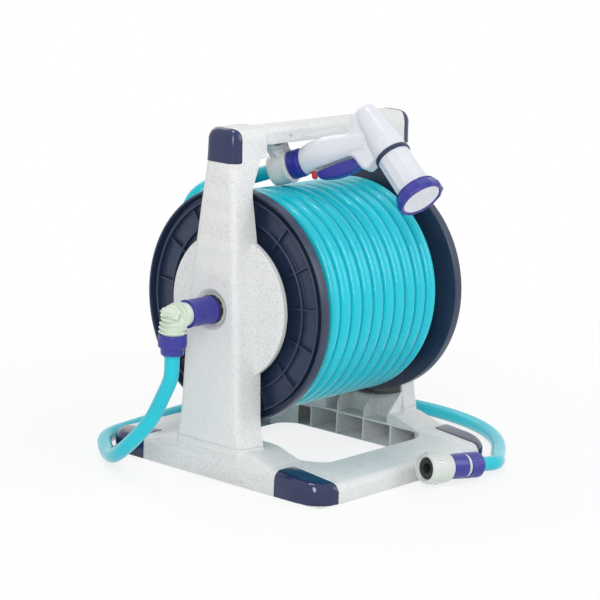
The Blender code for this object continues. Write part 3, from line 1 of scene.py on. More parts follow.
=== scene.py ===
"""A garden hose reel dressed for its portrait: moulded plastic, wound hose, nozzle and fittings.
Lengths are metres. Shapes are drawn about the drum's axle and moved back by REEL_Y at the end."""

import itertools
import json
import math

import bmesh
import bpy
import numpy as np
from mathutils import Matrix, Vector


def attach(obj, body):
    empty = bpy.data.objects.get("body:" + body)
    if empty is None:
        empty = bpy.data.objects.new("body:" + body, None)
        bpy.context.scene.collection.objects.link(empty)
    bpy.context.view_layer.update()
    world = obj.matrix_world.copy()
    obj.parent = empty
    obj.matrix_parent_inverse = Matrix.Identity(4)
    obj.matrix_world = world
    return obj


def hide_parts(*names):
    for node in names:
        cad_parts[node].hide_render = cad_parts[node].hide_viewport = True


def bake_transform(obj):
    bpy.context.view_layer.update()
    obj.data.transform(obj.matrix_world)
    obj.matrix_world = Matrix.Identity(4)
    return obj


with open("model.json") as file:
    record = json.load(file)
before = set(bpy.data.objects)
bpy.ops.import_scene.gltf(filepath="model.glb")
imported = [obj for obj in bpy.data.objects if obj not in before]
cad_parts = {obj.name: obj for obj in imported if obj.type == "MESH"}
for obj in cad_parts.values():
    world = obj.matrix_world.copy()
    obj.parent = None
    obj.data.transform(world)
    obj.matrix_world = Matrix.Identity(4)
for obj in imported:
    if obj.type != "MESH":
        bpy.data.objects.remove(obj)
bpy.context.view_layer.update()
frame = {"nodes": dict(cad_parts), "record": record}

REEL_Y = 0.012086
AXLE_HEIGHT = 0.2305
HOSE_RADIUS = 0.01
GAP = 0.0003
SIDES = ((-1, "left"), (1, "right"))


def at(x, y, z):
    return Matrix.Translation((x, y, z))


def spun(degrees, axis):
    return Matrix.Rotation(math.radians(degrees), 4, axis)


def placed(name, data):
    """A new object in the scene."""
    made = bpy.data.objects.new(name, data)
    bpy.context.scene.collection.objects.link(made)
    return made


# Camera and lamps


def look_at(target, azimuth, elevation, distance, roll, lens):
    """A camera on a sphere round the target; azimuth 0 looks along +Y."""
    turn, lift, lean = (math.radians(angle) for angle in (azimuth, elevation, roll))
    back = Vector((math.sin(turn) * math.cos(lift), -math.cos(turn) * math.cos(lift), math.sin(lift)))
    right = Vector((0, 0, 1)).cross(back).normalized()
    up = back.cross(right)
    tilted_right = right * math.cos(lean) + up * math.sin(lean)
    tilted_up = up * math.cos(lean) - right * math.sin(lean)
    made = placed("portrait_camera", bpy.data.cameras.new("portrait_camera"))
    made.data.lens, made.data.sensor_width, made.data.clip_end = lens, 36, 50
    pose = Matrix((tilted_right, tilted_up, back)).transposed().to_4x4()
    pose.translation = Vector(target) + back * distance
    made.matrix_world = pose
    bpy.context.scene.camera = made


def soft_light(name, place, size, power, tint=(1, 1, 1)):
    lamp = bpy.data.lights.new(name, "AREA")
    lamp.shape, lamp.energy, lamp.color = "ELLIPSE", power, tint
    lamp.size, lamp.size_y = size
    made = placed(name, lamp)
    made.location = place
    made.rotation_euler = (Vector(place) - Vector((0, 0, 0.22))).to_track_quat("Z", "Y").to_euler()


look_at((-0.01107, REEL_Y, 0.21916), -49.22, 11.96, 3.29731, 2.31, 144)
bpy.context.scene.view_settings.view_transform = "Standard"
soft_light("key_light", (-1.7, -1.3, 1.3), (0.35, 2.2), 22)
soft_light("fill_light", (1.3, -2.1, 1.5), (1.3, 1.8), 16, (0.97, 0.985, 1))
soft_light("back_light", (0.6, 2.0, 1.9), (1.6, 1.6), 9)
soft_light("top_light", (-0.05, 0.1, 2.3), (0.2, 0.3), 5)

# Nodes


def node(tree, kind, values=None, **settings):
    """A new node's outputs. Its inputs are given as values or as other nodes' outputs."""
    made = tree.nodes.new(kind)
    for name, value in settings.items():
        setattr(made, name, value)
    for name, value in (values or {}).items():
        if isinstance(value, bpy.types.NodeSocket):
            tree.links.new(value, made.inputs[name])
        else:
            made.inputs[name].default_value = value
    return made.outputs


def maths(tree, operation, *values, clamp=False):
    return node(tree, "ShaderNodeMath", dict(enumerate(values)), operation=operation, use_clamp=clamp)[0]


def vectors(tree, operation, values):
    return node(tree, "ShaderNodeVectorMath", values, operation=operation)


def ranged(tree, value, low, high, to_low=0.0, to_high=1.0, way="LINEAR"):
    """A value between two limits carried over to two others."""
    limits = {"Value": value, "From Min": low, "From Max": high, "To Min": to_low, "To Max": to_high}
    return node(tree, "ShaderNodeMapRange", limits, interpolation_type=way)["Result"]


def object_place(tree):
    return node(tree, "ShaderNodeTexCoord")["Object"]


def parts_of(tree, vector):
    return node(tree, "ShaderNodeSeparateXYZ", {"Vector": vector})


def clouds(tree, scale, detail):
    """Noise over the object, finer for a larger scale."""
    place = vectors(tree, "SCALE", {0: object_place(tree), "Scale": scale})[0]
    return node(tree, "ShaderNodeTexNoise", {"Vector": place, "Scale": 1.0, "Detail": detail})["Fac"]


def blended(tree, factor, first, second):
    return node(tree, "ShaderNodeMix", {0: factor, 6: first, 7: second}, data_type="RGBA")[2]


def plain(name, gloss_coat=0.0, metallic=0.0, specular=0.5):
    """A material and its Principled shader, with the numbers that are the same all over."""
    made = bpy.data.materials.new(name)
    made.use_nodes = True
    shader = made.node_tree.nodes["Principled BSDF"]
    shader.inputs["Metallic"].default_value = metallic
    shader.inputs["Specular IOR Level"].default_value = specular
    shader.inputs["Coat Weight"].default_value = gloss_coat
    shader.inputs["Coat Roughness"].default_value = 0.06
    return made, made.node_tree, shader


# Room and floor


def seen_in(tree):
    """Where a ray comes from the camera, from a reflection or through a clear surface."""
    rays = node(tree, "ShaderNodeLightPath")
    seen = maths(tree, "MAXIMUM", rays["Is Camera Ray"], rays["Is Glossy Ray"])
    return maths(tree, "MAXIMUM", seen, rays["Is Transmission Ray"])


world = bpy.data.worlds.new("pale_room")
world.use_nodes = True
bpy.context.scene.world = world
room = world.node_tree
room.nodes.clear()
# The room looks brighter than it lights.
level = {"Factor": seen_in(room), "A": 0.56, "B": 1.0}
level = node(room, "ShaderNodeMix", level, data_type="FLOAT")["Result"]
sky = node(room, "ShaderNodeBackground", {"Color": (1, 1, 1, 1), "Strength": level})[0]
node(room, "ShaderNodeOutputWorld", {"Surface": sky})

floor_mesh = bpy.data.meshes.new("floor")
floor_mesh.from_pydata([(-12, -12, 0), (12, -12, 0), (12, 12, 0), (-12, 12, 0)], [], [(0, 1, 2, 3)])
floor = placed("floor", floor_mesh)
floor.location = (0, 0, -0.0005)
floor_paint, paint, floor_shader = plain("pale_floor", specular=0.2)
floor_shader.inputs["Base Color"].default_value = (0.93, 0.93, 0.925, 1)
floor_shader.inputs["Roughness"].default_value = 0.75
floor_place = object_place(paint)
away = vectors(paint, "LENGTH", {0: floor_place})["Value"]
share = maths(paint, "MULTIPLY", seen_in(paint), ranged(paint, away, 0.25, 1.2, 0.8, 1.0, "SMOOTHSTEP"))
floor_parts = parts_of(paint, floor_place)
across = maths(paint, "ABSOLUTE", floor_parts["X"])
deep = maths(paint, "SUBTRACT", floor_parts["Y"], REEL_Y)


def inside(half_x, half_y, y):
    """Where the floor is inside a rectangle about a point on the reel's middle line."""
    from_middle = maths(paint, "ABSOLUTE", maths(paint, "SUBTRACT", deep, y))
    in_y = maths(paint, "LESS_THAN", from_middle, half_y)
    return maths(paint, "MULTIPLY", in_y, maths(paint, "LESS_THAN", across, half_x))


under_rails = maths(paint, "SUBTRACT", inside(0.184, 0.196, 0), inside(0.119, 0.1315, -0.0035), clamp=True)
share = maths(paint, "MULTIPLY", share, maths(paint, "SUBTRACT", 1.0, under_rails))
glow = node(paint, "ShaderNodeEmission", {"Color": (1, 1, 1, 1), "Strength": 1.0})[0]
shown = node(paint, "ShaderNodeMixShader", {0: share, 1: floor_shader.outputs[0], 2: glow})[0]
paint.links.new(shown, paint.nodes["Material Output"].inputs["Surface"])
floor_mesh.materials.append(floor_paint)

# Shader groups shared by the finishes


def effect(name, inputs, outputs):
    """An empty shader group, its inputs, and a way to put a value out."""
    tree = bpy.data.node_groups.new(name, "ShaderNodeTree")
    for label, value in inputs.items():
        tree.interface.new_socket(label, in_out="INPUT", socket_type="NodeSocketFloat").default_value = value
    for label, kind in outputs.items():
        tree.interface.new_socket(label, in_out="OUTPUT", socket_type="NodeSocket" + kind)
    given, put = tree.nodes.new("NodeGroupInput").outputs, tree.nodes.new("NodeGroupOutput").inputs
    return tree, given, lambda label, value: tree.links.new(value, put[label])


def used(tree, group, **values):
    """A group's outputs in another tree, with some of its inputs set."""
    made = tree.nodes.new("ShaderNodeGroup")
    made.node_tree = group
    for label, value in values.items():
        made.inputs[label.replace("_", " ")].default_value = value
    return made.outputs


# Moulded skin: a fine spark-eroded texture and a slow unevenness of gloss.
inputs = {"Scale": 1800.0, "Depth": 0.2, "Cloud Scale": 22.0}
grain, given, put = effect("moulded_grain", inputs, {"Normal": "Vector", "Cloud": "Float"})
bumps = {"Strength": given["Depth"], "Distance": 0.0003, "Height": clouds(grain, given["Scale"], 2.0)}
put("Normal", node(grain, "ShaderNodeBump", bumps)["Normal"])
put("Cloud", clouds(grain, given["Cloud Scale"], 4.0))

# Specks: coloured grains set in pale plastic.
inputs = {"Scale": 600.0, "Share": 0.5, "Size": 0.25}
specks, given, put = effect("stone_specks", inputs, {"Mask": "Float", "Tint": "Color"})
place = vectors(specks, "SCALE", {0: object_place(specks), "Scale": given["Scale"]})[0]
cells = node(specks, "ShaderNodeTexVoronoi", {"Vector": place, "Scale": 1.0})
picked = node(specks, "ShaderNodeSeparateColor", {"Color": cells["Color"]})
near = maths(specks, "LESS_THAN", cells["Distance"], given["Size"])
chosen = maths(specks, "LESS_THAN", picked["Red"], given["Share"])
hues = node(specks, "ShaderNodeValToRGB", {"Fac": picked["Green"]})["Color"]
ramp = hues.node.color_ramp
ramp.interpolation = "CONSTANT"
ramp.elements.remove(ramp.elements[1])
ramp.elements[0].color = (0.21, 0.22, 0.25, 1)
ramp.elements.new(0.45).color = (0.2, 0.27, 0.42, 1)
ramp.elements.new(0.72).color = (0.36, 0.29, 0.22, 1)
put("Mask", maths(specks, "MULTIPLY", near, chosen))
put("Tint", hues)

# Settled dust: thin on faces that look up, and a little heavier near the ground.
dust, given, put = effect("settled_dust", {"Amount": 0.2, "Low Edge": 0.06}, {"Mask": "Float"})
facing = parts_of(dust, node(dust, "ShaderNodeNewGeometry")["Normal"])
upward = maths(dust, "MULTIPLY", facing["Z"], 0.6, clamp=True)
low = ranged(dust, parts_of(dust, object_place(dust))["Z"], given["Low Edge"], 0.0, 0.0, 0.7)
lain = maths(dust, "ADD", upward, low, clamp=True)
lain = maths(dust, "MULTIPLY", lain, ranged(dust, clouds(dust, 48.0, 6.0), 0.42, 0.72))
put("Mask", maths(dust, "MULTIPLY", lain, given["Amount"], clamp=True))

# Braid: two sets of threads that cross under a hose's clear skin.
inputs = {"Threads": 12.0, "Pitch": 0.03, "Width": 0.8}
braid, given, put = effect("braid_threads", inputs, {"Mask": "Float", "Knot": "Float"})
parts = parts_of(braid, node(braid, "ShaderNodeAttribute", attribute_name="hose_map")["Vector"])
round_phase = maths(braid, "MULTIPLY", maths(braid, "ARCTAN2", parts["Y"], parts["X"]), given["Threads"])
turns = maths(braid, "DIVIDE", parts["Z"], given["Pitch"])
long_phase = maths(braid, "MULTIPLY", maths(braid, "MULTIPLY", turns, given["Threads"]), math.tau)
waves = (maths(braid, "COSINE", maths(braid, way, round_phase, long_phase)) for way in ("ADD", "SUBTRACT"))
threads = [ranged(braid, wave, given["Width"], 1.0, way="SMOOTHSTEP") for wave in waves]
put("Mask", maths(braid, "MAXIMUM", *threads))
put("Knot", maths(braid, "MULTIPLY", *threads))

# Fine scratches from handling and turning.
scratches, given, put = effect("fine_scratches", {"Scale": 90.0, "Share": 0.5}, {"Mask": "Float"})
streaks = []
for stretch in ((1.0, 22.0, 3.0), (18.0, 1.5, 9.0)):
    place = vectors(scratches, "SCALE", {0: object_place(scratches), "Scale": given["Scale"]})[0]
    drawn = vectors(scratches, "MULTIPLY", {0: place, 1: stretch})[0]
    lines = node(scratches, "ShaderNodeTexNoise", {"Vector": drawn, "Scale": 1.0, "Detail": 3.0})["Fac"]
    streaks.append(ranged(scratches, lines, 0.58, 0.72))
put("Mask", maths(scratches, "MULTIPLY", maths(scratches, "MAXIMUM", *streaks), given["Share"]))

# Finishes


def finished(made, shader, tone, gloss, normal):
    """A material whose colour, roughness and relief come from its nodes."""
    for name, value in (("Base Color", tone), ("Roughness", gloss), ("Normal", normal)):
        made.node_tree.links.new(value, shader.inputs[name])
    return made


def moulded(name, colour, deep, rough, depth=0.2, scale=1800.0, coat=0.0, dusty=0.08, scratched=0.2):
    """Coloured plastic: cloudy colour and gloss, fine grain, light scratches and dust."""
    made, tree, shader = plain(name, coat)
    skin = used(tree, grain, Scale=scale, Depth=depth)
    worn = used(tree, scratches, Share=scratched)["Mask"]
    settled = used(tree, dust, Amount=dusty)["Mask"]
    tone = blended(tree, skin["Cloud"], (*deep, 1), (*colour, 1))
    tone = blended(tree, settled, tone, (0.6, 0.58, 0.54, 1))
    gloss = ranged(tree, skin["Cloud"], 0.3, 0.7, rough - 0.05, rough + 0.06)
    gloss = maths(tree, "ADD", gloss, maths(tree, "MULTIPLY", worn, 0.15))
    gloss = maths(tree, "ADD", gloss, maths(tree, "MULTIPLY", settled, 0.3), clamp=True)
    return finished(made, shader, tone, gloss, skin["Normal"])


def stone_plastic(name):
    """Pale plastic with grey, blue and brown specks in two sizes."""
    made, tree, shader = plain(name)
    skin = used(tree, grain, Scale=1500.0, Depth=0.22, Cloud_Scale=9.0)
    settled = used(tree, dust, Amount=0.16, Low_Edge=0.03)["Mask"]
    tone = blended(tree, skin["Cloud"], (0.725, 0.737, 0.735, 1), (0.785, 0.797, 0.792, 1))
    for scale, share, size in ((950.0, 0.4, 0.32), (480.0, 0.24, 0.29)):
        dots = used(tree, specks, Scale=scale, Share=share, Size=size)
        tone = blended(tree, maths(tree, "MULTIPLY", dots["Mask"], 0.6), tone, dots["Tint"])
    tone = blended(tree, settled, tone, (0.52, 0.5, 0.45, 1))
    gloss = ranged(tree, skin["Cloud"], 0.3, 0.7, 0.4, 0.52)
    return finished(made, shader, tone, gloss, skin["Normal"])


def braided_hose(name):
    """Turquoise hose: pale threads under a clear glossy skin that shows them faintly in relief."""
    made, tree, shader = plain(name, 0.4, specular=0.25)
    seen = used(tree, braid, Threads=12.0, Pitch=0.052, Width=0.55)
    skin = used(tree, grain, Scale=420.0, Depth=0.06, Cloud_Scale=14.0)
    settled = used(tree, dust, Amount=0.03, Low_Edge=0.03)["Mask"]
    tone = blended(tree, skin["Cloud"], (0.001, 0.48, 0.59, 1), (0.002, 0.57, 0.69, 1))
    tone = blended(tree, maths(tree, "MULTIPLY", seen["Mask"], 0.22), tone, (0.015, 0.72, 0.86, 1))
    tone = blended(tree, maths(tree, "MULTIPLY", seen["Knot"], 0.25), tone, (0.06, 0.8, 0.92, 1))
    tone = blended(tree, settled, tone, (0.42, 0.52, 0.5, 1))
    relief = {"Strength": 0.18, "Distance": 0.0004, "Height": seen["Mask"], "Normal": skin["Normal"]}
    gloss = ranged(tree, skin["Cloud"], 0.3, 0.7, 0.24, 0.36)
    return finished(made, shader, tone, gloss, node(tree, "ShaderNodeBump", relief)["Normal"])


def plated(name):
    """Bright plated steel with turning marks and dull spots."""
    made, tree, shader = plain(name, metallic=1.0)
    worn = used(tree, scratches, Scale=260.0, Share=1.0)["Mask"]
    skin = used(tree, grain, Scale=900.0, Depth=0.05, Cloud_Scale=160.0)
    tone = blended(tree, skin["Cloud"], (0.52, 0.53, 0.55, 1), (0.72, 0.73, 0.74, 1))
    gloss = maths(tree, "ADD", maths(tree, "MULTIPLY", worn, 0.3), 0.16)
    return finished(made, shader, tone, gloss, skin["Normal"])


FINISHES = {
    "speckled_plastic": stone_plastic("speckled_plastic"),
    "navy_plastic": moulded(
        "navy_plastic", (0.02, 0.036, 0.08), (0.014, 0.026, 0.06), 0.34, 0.22, dusty=0.06
    ),
    "navy_gloss_plastic": moulded(
        "navy_gloss_plastic", (0.016, 0.026, 0.1), (0.012, 0.02, 0.076), 0.13, 0.03, 900.0, 0.0, 0.02, 0.1
    ),
    "hose": braided_hose("turquoise_hose"),
    # The hose's inner layers, seen in the gaps between turns: the same hose, its colour painted darker as
    # shade.
    "hose_layers": moulded("inner_hose_painted_shade", (0.002, 0.46, 0.56), (0.001, 0.38, 0.48), 0.35, 0.1, dusty=0.05),
    "purple_plastic": moulded(
        "purple_plastic", (0.034, 0.034, 0.33), (0.024, 0.024, 0.25), 0.28, 0.12, dusty=0.04
    ),
    "cream_plastic": moulded("cream_plastic", (0.72, 0.81, 0.7), (0.67, 0.76, 0.65), 0.38, 0.12),
    "lavender_plastic": moulded(
        "lavender_plastic", (0.73, 0.745, 0.8), (0.685, 0.7, 0.76), 0.28, 0.06, 1200.0, 0.45, 0.06
    ),
    "white_plastic": moulded("white_plastic", (0.69, 0.73, 0.69), (0.65, 0.69, 0.65), 0.32, 0.12),
    "red_plastic": moulded("red_plastic", (0.68, 0.018, 0.02), (0.56, 0.012, 0.016), 0.33, 0.1),
    "black_plastic": moulded("black_plastic", (0.022, 0.022, 0.025), (0.014, 0.014, 0.017), 0.42, 0.3),
    "rubber": moulded("black_rubber", (0.02, 0.02, 0.021), (0.012, 0.012, 0.013), 0.62, 0.35, 1100.0),
    "steel": plated("plated_steel"),
}

# Shells: closed skins as a list of points and a list of faces


def arc(first, last, steps):
    """The cosine and sine at even steps from one angle to another, in degrees."""
    return [(math.cos(turn), math.sin(turn)) for turn in np.radians(np.linspace(first, last, steps + 1))]


def circle(steps):
    """The cosine and sine at even steps once round."""
    return arc(0, 360, steps)[:-1]


def rounded_corners(outline, back, closed=True, steps=3, least=20):
    """An outline with small curves for corners. How far back they start can differ from one to the next."""
    points = [np.array(point, float) for point in outline]
    count = len(points)
    backs = back if isinstance(back, tuple) else (back,) * count
    result = []
    for number, here in enumerate(points):
        if not closed and number in (0, count - 1):
            result.append(tuple(here))
            continue
        before, after = points[number - 1] - here, points[(number + 1) % count] - here
        long_before, long_after = np.linalg.norm(before), np.linalg.norm(after)
        bend = 180 - math.degrees(math.acos(np.clip(before @ after / (long_before * long_after), -1, 1)))
        if bend < least:
            result.append(tuple(here))
            continue
        start = here + before / long_before * min(backs[number], 0.45 * long_before)
        end = here + after / long_after * min(backs[number], 0.45 * long_after)
        for share in np.linspace(0, 1, steps + 1):
            result.append(tuple((1 - share) ** 2 * start + 2 * share * (1 - share) * here + share**2 * end))
    return result


def lofted(rings):
    """A skin through rings of equal count, closed at both ends."""
    count = len(rings[0])
    points = [tuple(point) for ring in rings for point in ring]
    faces = []
    for level in range(len(rings) - 1):
        for k in range(count):
            a, b = level * count + k, level * count + (k + 1) % count
            faces.append((a, b, b + count, a + count))
    faces.append(tuple(range(count))[::-1])
    faces.append(tuple(range((len(rings) - 1) * count, len(rings) * count)))
    return points, faces


def turned(profile, place=Matrix(), steps=96, hollow=True, back=0.0005):
    """A profile of (radius, height) turned about Z, then put in place."""
    profile = rounded_corners(profile, back, closed=hollow)
    count = len(profile)
    points, faces = [], []
    for k, (cosine, sine) in enumerate(circle(steps)):
        points += [tuple(place @ Vector((radius * cosine, radius * sine, z))) for radius, z in profile]
        here, there = k * count, (k + 1) % steps * count
        for i in range(count if hollow else count - 1):
            j = (i + 1) % count
            faces.append((here + i, there + i, there + j, here + j))
    return points, faces


def rod(radius, low, high, place=Matrix(), steps=20, back=0):
    """A plain cylinder between two heights."""
    return turned([(0, low), (radius, low), (radius, high), (0, high)], place, steps, False, back)


def band(inner, outer, high, low, place, steps=96, back=0.0005):
    """A ring of a plain square section."""
    return turned([(inner, high), (outer, high), (outer, low), (inner, low)], place, steps, back=back)


def slab(low, high, place=Matrix(), back=0.0, segments=2):
    """A box between two corners, its edges rounded."""
    low, high = Vector(low), Vector(high)
    shape = bmesh.new()
    bmesh.ops.create_cube(shape, size=1)
    bmesh.ops.scale(shape, vec=high - low, verts=shape.verts)
    bmesh.ops.translate(shape, vec=(low + high) / 2, verts=shape.verts)
    if back:
        form = {"offset": back, "segments": segments, "affect": "EDGES", "profile": 0.5}
        bmesh.ops.bevel(shape, geom=shape.edges[:], **form)
    bmesh.ops.transform(shape, matrix=place, verts=shape.verts)
    shape.verts.index_update()
    shell = [tuple(v.co) for v in shape.verts], [tuple(v.index for v in f.verts) for f in shape.faces]
    shape.free()
    return shell


def slice_of(outline, depth, place=Matrix(), back=0.0, steps=3):
    """A flat outline in X and Y, of an even depth about z = 0, with rounded rims."""
    outline = [np.array(point, float) for point in outline]
    if sum(a[0] * b[1] - a[1] * b[0] for a, b in zip(outline, outline[1:] + outline[:1])) < 0:
        outline = outline[::-1]
    inward = []
    for before, after in zip(outline[-1:] + outline[:-1], outline[1:] + outline[:1]):
        along = after - before
        inward.append(np.array([-along[1], along[0]]) / np.linalg.norm(along))
    levels = [(back * (1 - sine), back * (1 - cosine)) for cosine, sine in arc(0, 90, steps if back else 0)]
    heights = [(-depth / 2 + rise, inset) for inset, rise in levels]
    heights += [(depth / 2 - rise, inset) for inset, rise in levels[::-1]]
    rings = []
    for z, inset in heights:
        rings.append([place @ Vector((*(point + inset * way), z)) for point, way in zip(outline, inward)])
    return lofted(rings)


def moved(shell, place):
    """A shell put in place."""
    return [tuple(place @ Vector(point)) for point in shell[0]], shell[1]


def mirrored(shell, x=1, y=1):
    """A shell, or its mirror image where x or y is -1."""
    return [(x * px, y * py, pz) for px, py, pz in shell[0]], shell[1]


def mesh_of(name, shells):
    """One clean mesh from shells, its faces pointing outwards."""
    points, faces = [], []
    for some_points, some_faces in shells:
        start = len(points)
        points += some_points
        faces += [tuple(start + k for k in face) for face in some_faces]
    mesh = bpy.data.meshes.new(name)
    mesh.from_pydata(points, [], faces)
    shape = bmesh.new()
    shape.from_mesh(mesh)
    bmesh.ops.remove_doubles(shape, verts=shape.verts, dist=0.000002)
    bmesh.ops.recalc_face_normals(shape, faces=shape.faces)
    shape.to_mesh(mesh)
    shape.free()
    return mesh


def shell_of(mesh, place=Matrix()):
    """The shell of a mesh that isn't needed any more."""
    shell = [tuple(place @ v.co) for v in mesh.vertices], [tuple(face.vertices) for face in mesh.polygons]
    bpy.data.meshes.remove(mesh)
    return shell


def result_of(made):
    """The mesh that an object's modifiers give."""
    return bpy.data.meshes.new_from_object(made.evaluated_get(bpy.context.evaluated_depsgraph_get()))


def less(*shells):
    """Changes that cut away each of these shells in turn."""
    return [("DIFFERENCE", shell) for shell in shells]


def plus(*shells):
    """Changes that add each of these shells in turn."""
    return [("UNION", shell) for shell in shells]


def worked(first, *changes, rounding=0.0, segments=2, smoothing=0, voxel=0.0):
    """A shell changed by Booleans, given as (operation, shell), then remeshed or rounded at its edges."""
    spare = [placed("work", mesh_of("work", [first]))]

    def change(kind, **settings):
        made = spare[0].modifiers.new(kind.lower(), kind)
        for name, value in settings.items():
            setattr(made, name, value)

    for operation, shell in changes:
        spare.append(placed("work", mesh_of("work", [shell])))
        change("BOOLEAN", operation=operation, object=spare[-1], solver="EXACT")
    if voxel:
        change("REMESH", mode="VOXEL", voxel_size=voxel)
    if smoothing:
        change("SMOOTH", factor=0.5, iterations=smoothing)
    if rounding:
        limit = {"limit_method": "ANGLE", "angle_limit": math.radians(42), "use_clamp_overlap": True}
        change("BEVEL", width=rounding, segments=segments, **limit)
    shell = shell_of(result_of(spare[0]))
    for made in spare:
        data = made.data
        bpy.data.objects.remove(made)
        bpy.data.meshes.remove(data)
    return shell


# Geometry Nodes: copies round an axis, and a hose along a route


def tree_with(name, sockets):
    """An empty Geometry Nodes group, the names of its inputs, and its two ends."""
    tree = bpy.data.node_groups.new(name, "GeometryNodeTree")
    for way in ("INPUT", "OUTPUT"):
        tree.interface.new_socket("Geometry", in_out=way, socket_type="NodeSocketGeometry")
    names = {}
    for label, kind in sockets.items():
        socket = tree.interface.new_socket(label, in_out="INPUT", socket_type="NodeSocket" + kind)
        names[label] = socket.identifier
    return tree, names, tree.nodes.new("NodeGroupInput").outputs, tree.nodes.new("NodeGroupOutput").inputs[0]


round_tree, ROUND_INPUTS, given, leave = tree_with(
    "copies_round_an_axis", {"Copies": "Int", "Step": "Float", "Finish": "Material"}
)
stations = node(round_tree, "GeometryNodePoints", {"Count": given["Copies"]})[0]
turned_by = maths(round_tree, "MULTIPLY", node(round_tree, "GeometryNodeInputIndex")[0], given["Step"])
spin = node(round_tree, "ShaderNodeCombineXYZ", {"Z": turned_by})[0]
spin = node(round_tree, "FunctionNodeEulerToRotation", {"Euler": spin})[0]
copies = {"Points": stations, "Instance": given["Geometry"], "Rotation": spin}
copies = node(round_tree, "GeometryNodeInstanceOnPoints", copies)[0]
real = node(round_tree, "GeometryNodeRealizeInstances", {"Geometry": copies})[0]
painted = node(round_tree, "GeometryNodeSetMaterial", {"Geometry": real, "Material": given["Finish"]})[0]
round_tree.links.new(painted, leave)


def hose_tree(name, steered):
    """The skin of a hose along a curve. A steered one keeps its wide axis along one direction."""
    sockets = {"Half Width": "Float", "Half Height": "Float", "Sides": "Int"}
    tree, names, given, leave = tree_with(name, sockets | {"Wide Way": "Vector", "Finish": "Material"})

    def captured(geometry, kind, label, value):
        """A curve that carries a value along, and the value."""
        made = tree.nodes.new("GeometryNodeCaptureAttribute")
        made.capture_items.new(kind, label)
        tree.links.new(geometry, made.inputs["Geometry"])
        tree.links.new(value, made.inputs[label])
        return made.outputs["Geometry"], made.outputs[label]

    route = given["Geometry"]
    if steered:
        along = node(tree, "GeometryNodeInputTangent")[0]
        lean = vectors(tree, "DOT_PRODUCT", {0: given["Wide Way"], 1: along})["Value"]
        part = vectors(tree, "SCALE", {0: along, "Scale": lean})[0]
        square = vectors(tree, "SUBTRACT", {0: given["Wide Way"], 1: part})[0]
        square = vectors(tree, "NORMALIZE", {0: square})[0]
        route = node(tree, "GeometryNodeSetCurveNormal", {"Curve": route, "Normal": square}, mode="FREE")[0]
    route, length = captured(route, "FLOAT", "Along", node(tree, "GeometryNodeSplineParameter")["Length"])
    ring = {"Resolution": given["Sides"], "Radius": 1.0}
    ring = node(tree, "GeometryNodeCurvePrimitiveCircle", ring)["Curve"]
    ring, spot = captured(ring, "VECTOR", "Round", node(tree, "GeometryNodeInputPosition")[0])
    section = {"X": given["Half Height"], "Y": given["Half Width"], "Z": 1.0}
    section = node(tree, "ShaderNodeCombineXYZ", section)[0]
    section = node(tree, "GeometryNodeTransform", {"Geometry": ring, "Scale": section})[0]
    skin = {"Curve": route, "Profile Curve": section, "Fill Caps": True}
    skin = node(tree, "GeometryNodeCurveToMesh", skin)[0]
    split = parts_of(tree, spot)
    sheet_map = node(tree, "ShaderNodeCombineXYZ", {"X": split["X"], "Y": split["Y"], "Z": length})[0]
    stored = {"Geometry": skin, "Name": "hose_map", "Value": sheet_map}
    form = {"data_type": "FLOAT_VECTOR", "domain": "POINT"}
    stored = node(tree, "GeometryNodeStoreNamedAttribute", stored, **form)[0]
    smooth = node(tree, "GeometryNodeSetShadeSmooth", {"Geometry": stored, "Shade Smooth": True})[0]
    solid = node(tree, "GeometryNodeRealizeInstances", {"Geometry": smooth})[0]
    painted = node(tree, "GeometryNodeSetMaterial", {"Geometry": solid, "Material": given["Finish"]})[0]
    tree.links.new(painted, leave)
    return tree, names


def grown(data, tree, names, values):
    """The plain mesh that a tree makes from a mesh or a curve, with its inputs set by name."""
    seed = placed("seed", data)
    change = seed.modifiers.new("grow", "NODES")
    change.node_group = tree
    for label, value in values.items():
        change[names[label]] = value
    mesh = result_of(seed)
    bpy.data.objects.remove(seed)
    return mesh


def copies_round(shell, count, place, finish):
    """Even copies of a shell turned about Z, then put in place."""
    values = {"Copies": count, "Step": math.tau / count, "Finish": FINISHES[finish]}
    return shell_of(grown(mesh_of("copy", [shell]), round_tree, ROUND_INPUTS, values), place)


# Pieces


def joined(made, stands_for, body):
    """A piece that takes a CAD node's place. It rides on one body; given more than one, it stays fixed where
    it is.
    """
    if isinstance(body, str):
        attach(made, body)
    else:
        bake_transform(made)
    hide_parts(stands_for)
    return made


def piece(name, stands_for, body, finish, *shells):
    """A finished piece of the reel, riding on a body in place of a CAD node."""
    mesh = mesh_of(name, shells)
    mesh.transform(at(0, REEL_Y, 0))
    mesh.materials.append(FINISHES[finish])
    mesh.shade_smooth()
    mesh.set_sharp_from_angle(angle=math.radians(32))
    return joined(placed(name, mesh), stands_for, body)


def hose_piece(name, stands_for, body, points, tree, half_width, half_height, sides):
    """A hose along a route, its two axes kept to the given half sizes."""
    curve = bpy.data.curves.new(name, "CURVE")
    curve.dimensions = "3D"
    spline = curve.splines.new("POLY")
    spline.points.add(len(points) - 1)
    for point, (x, y, z) in zip(spline.points, points):
        point.co = (x, y + REEL_Y, z, 1)
    values = {"Half Width": half_width, "Half Height": half_height, "Sides": sides}
    mesh = grown(curve, *tree, values | {"Wide Way": (1, 0, 0), "Finish": FINISHES["hose"]})
    mesh.name = name
    mesh.materials.clear()
    mesh.materials.append(FINISHES["hose"])
    shape = bmesh.new()
    shape.from_mesh(mesh)
    bmesh.ops.recalc_face_normals(shape, faces=shape.faces)
    for face in shape.faces:
        if len(face.verts) > 4:
            for edge in face.edges:
                edge.smooth = False
    shape.to_mesh(mesh)
    shape.free()
    return joined(placed(name, mesh), stands_for, body)


def axle(side=1):
    """The drum's axle as a turning axis, heights measured from the middle towards one side."""
    return at(0, 0, AXLE_HEIGHT) @ spun(90 * side, "Y")


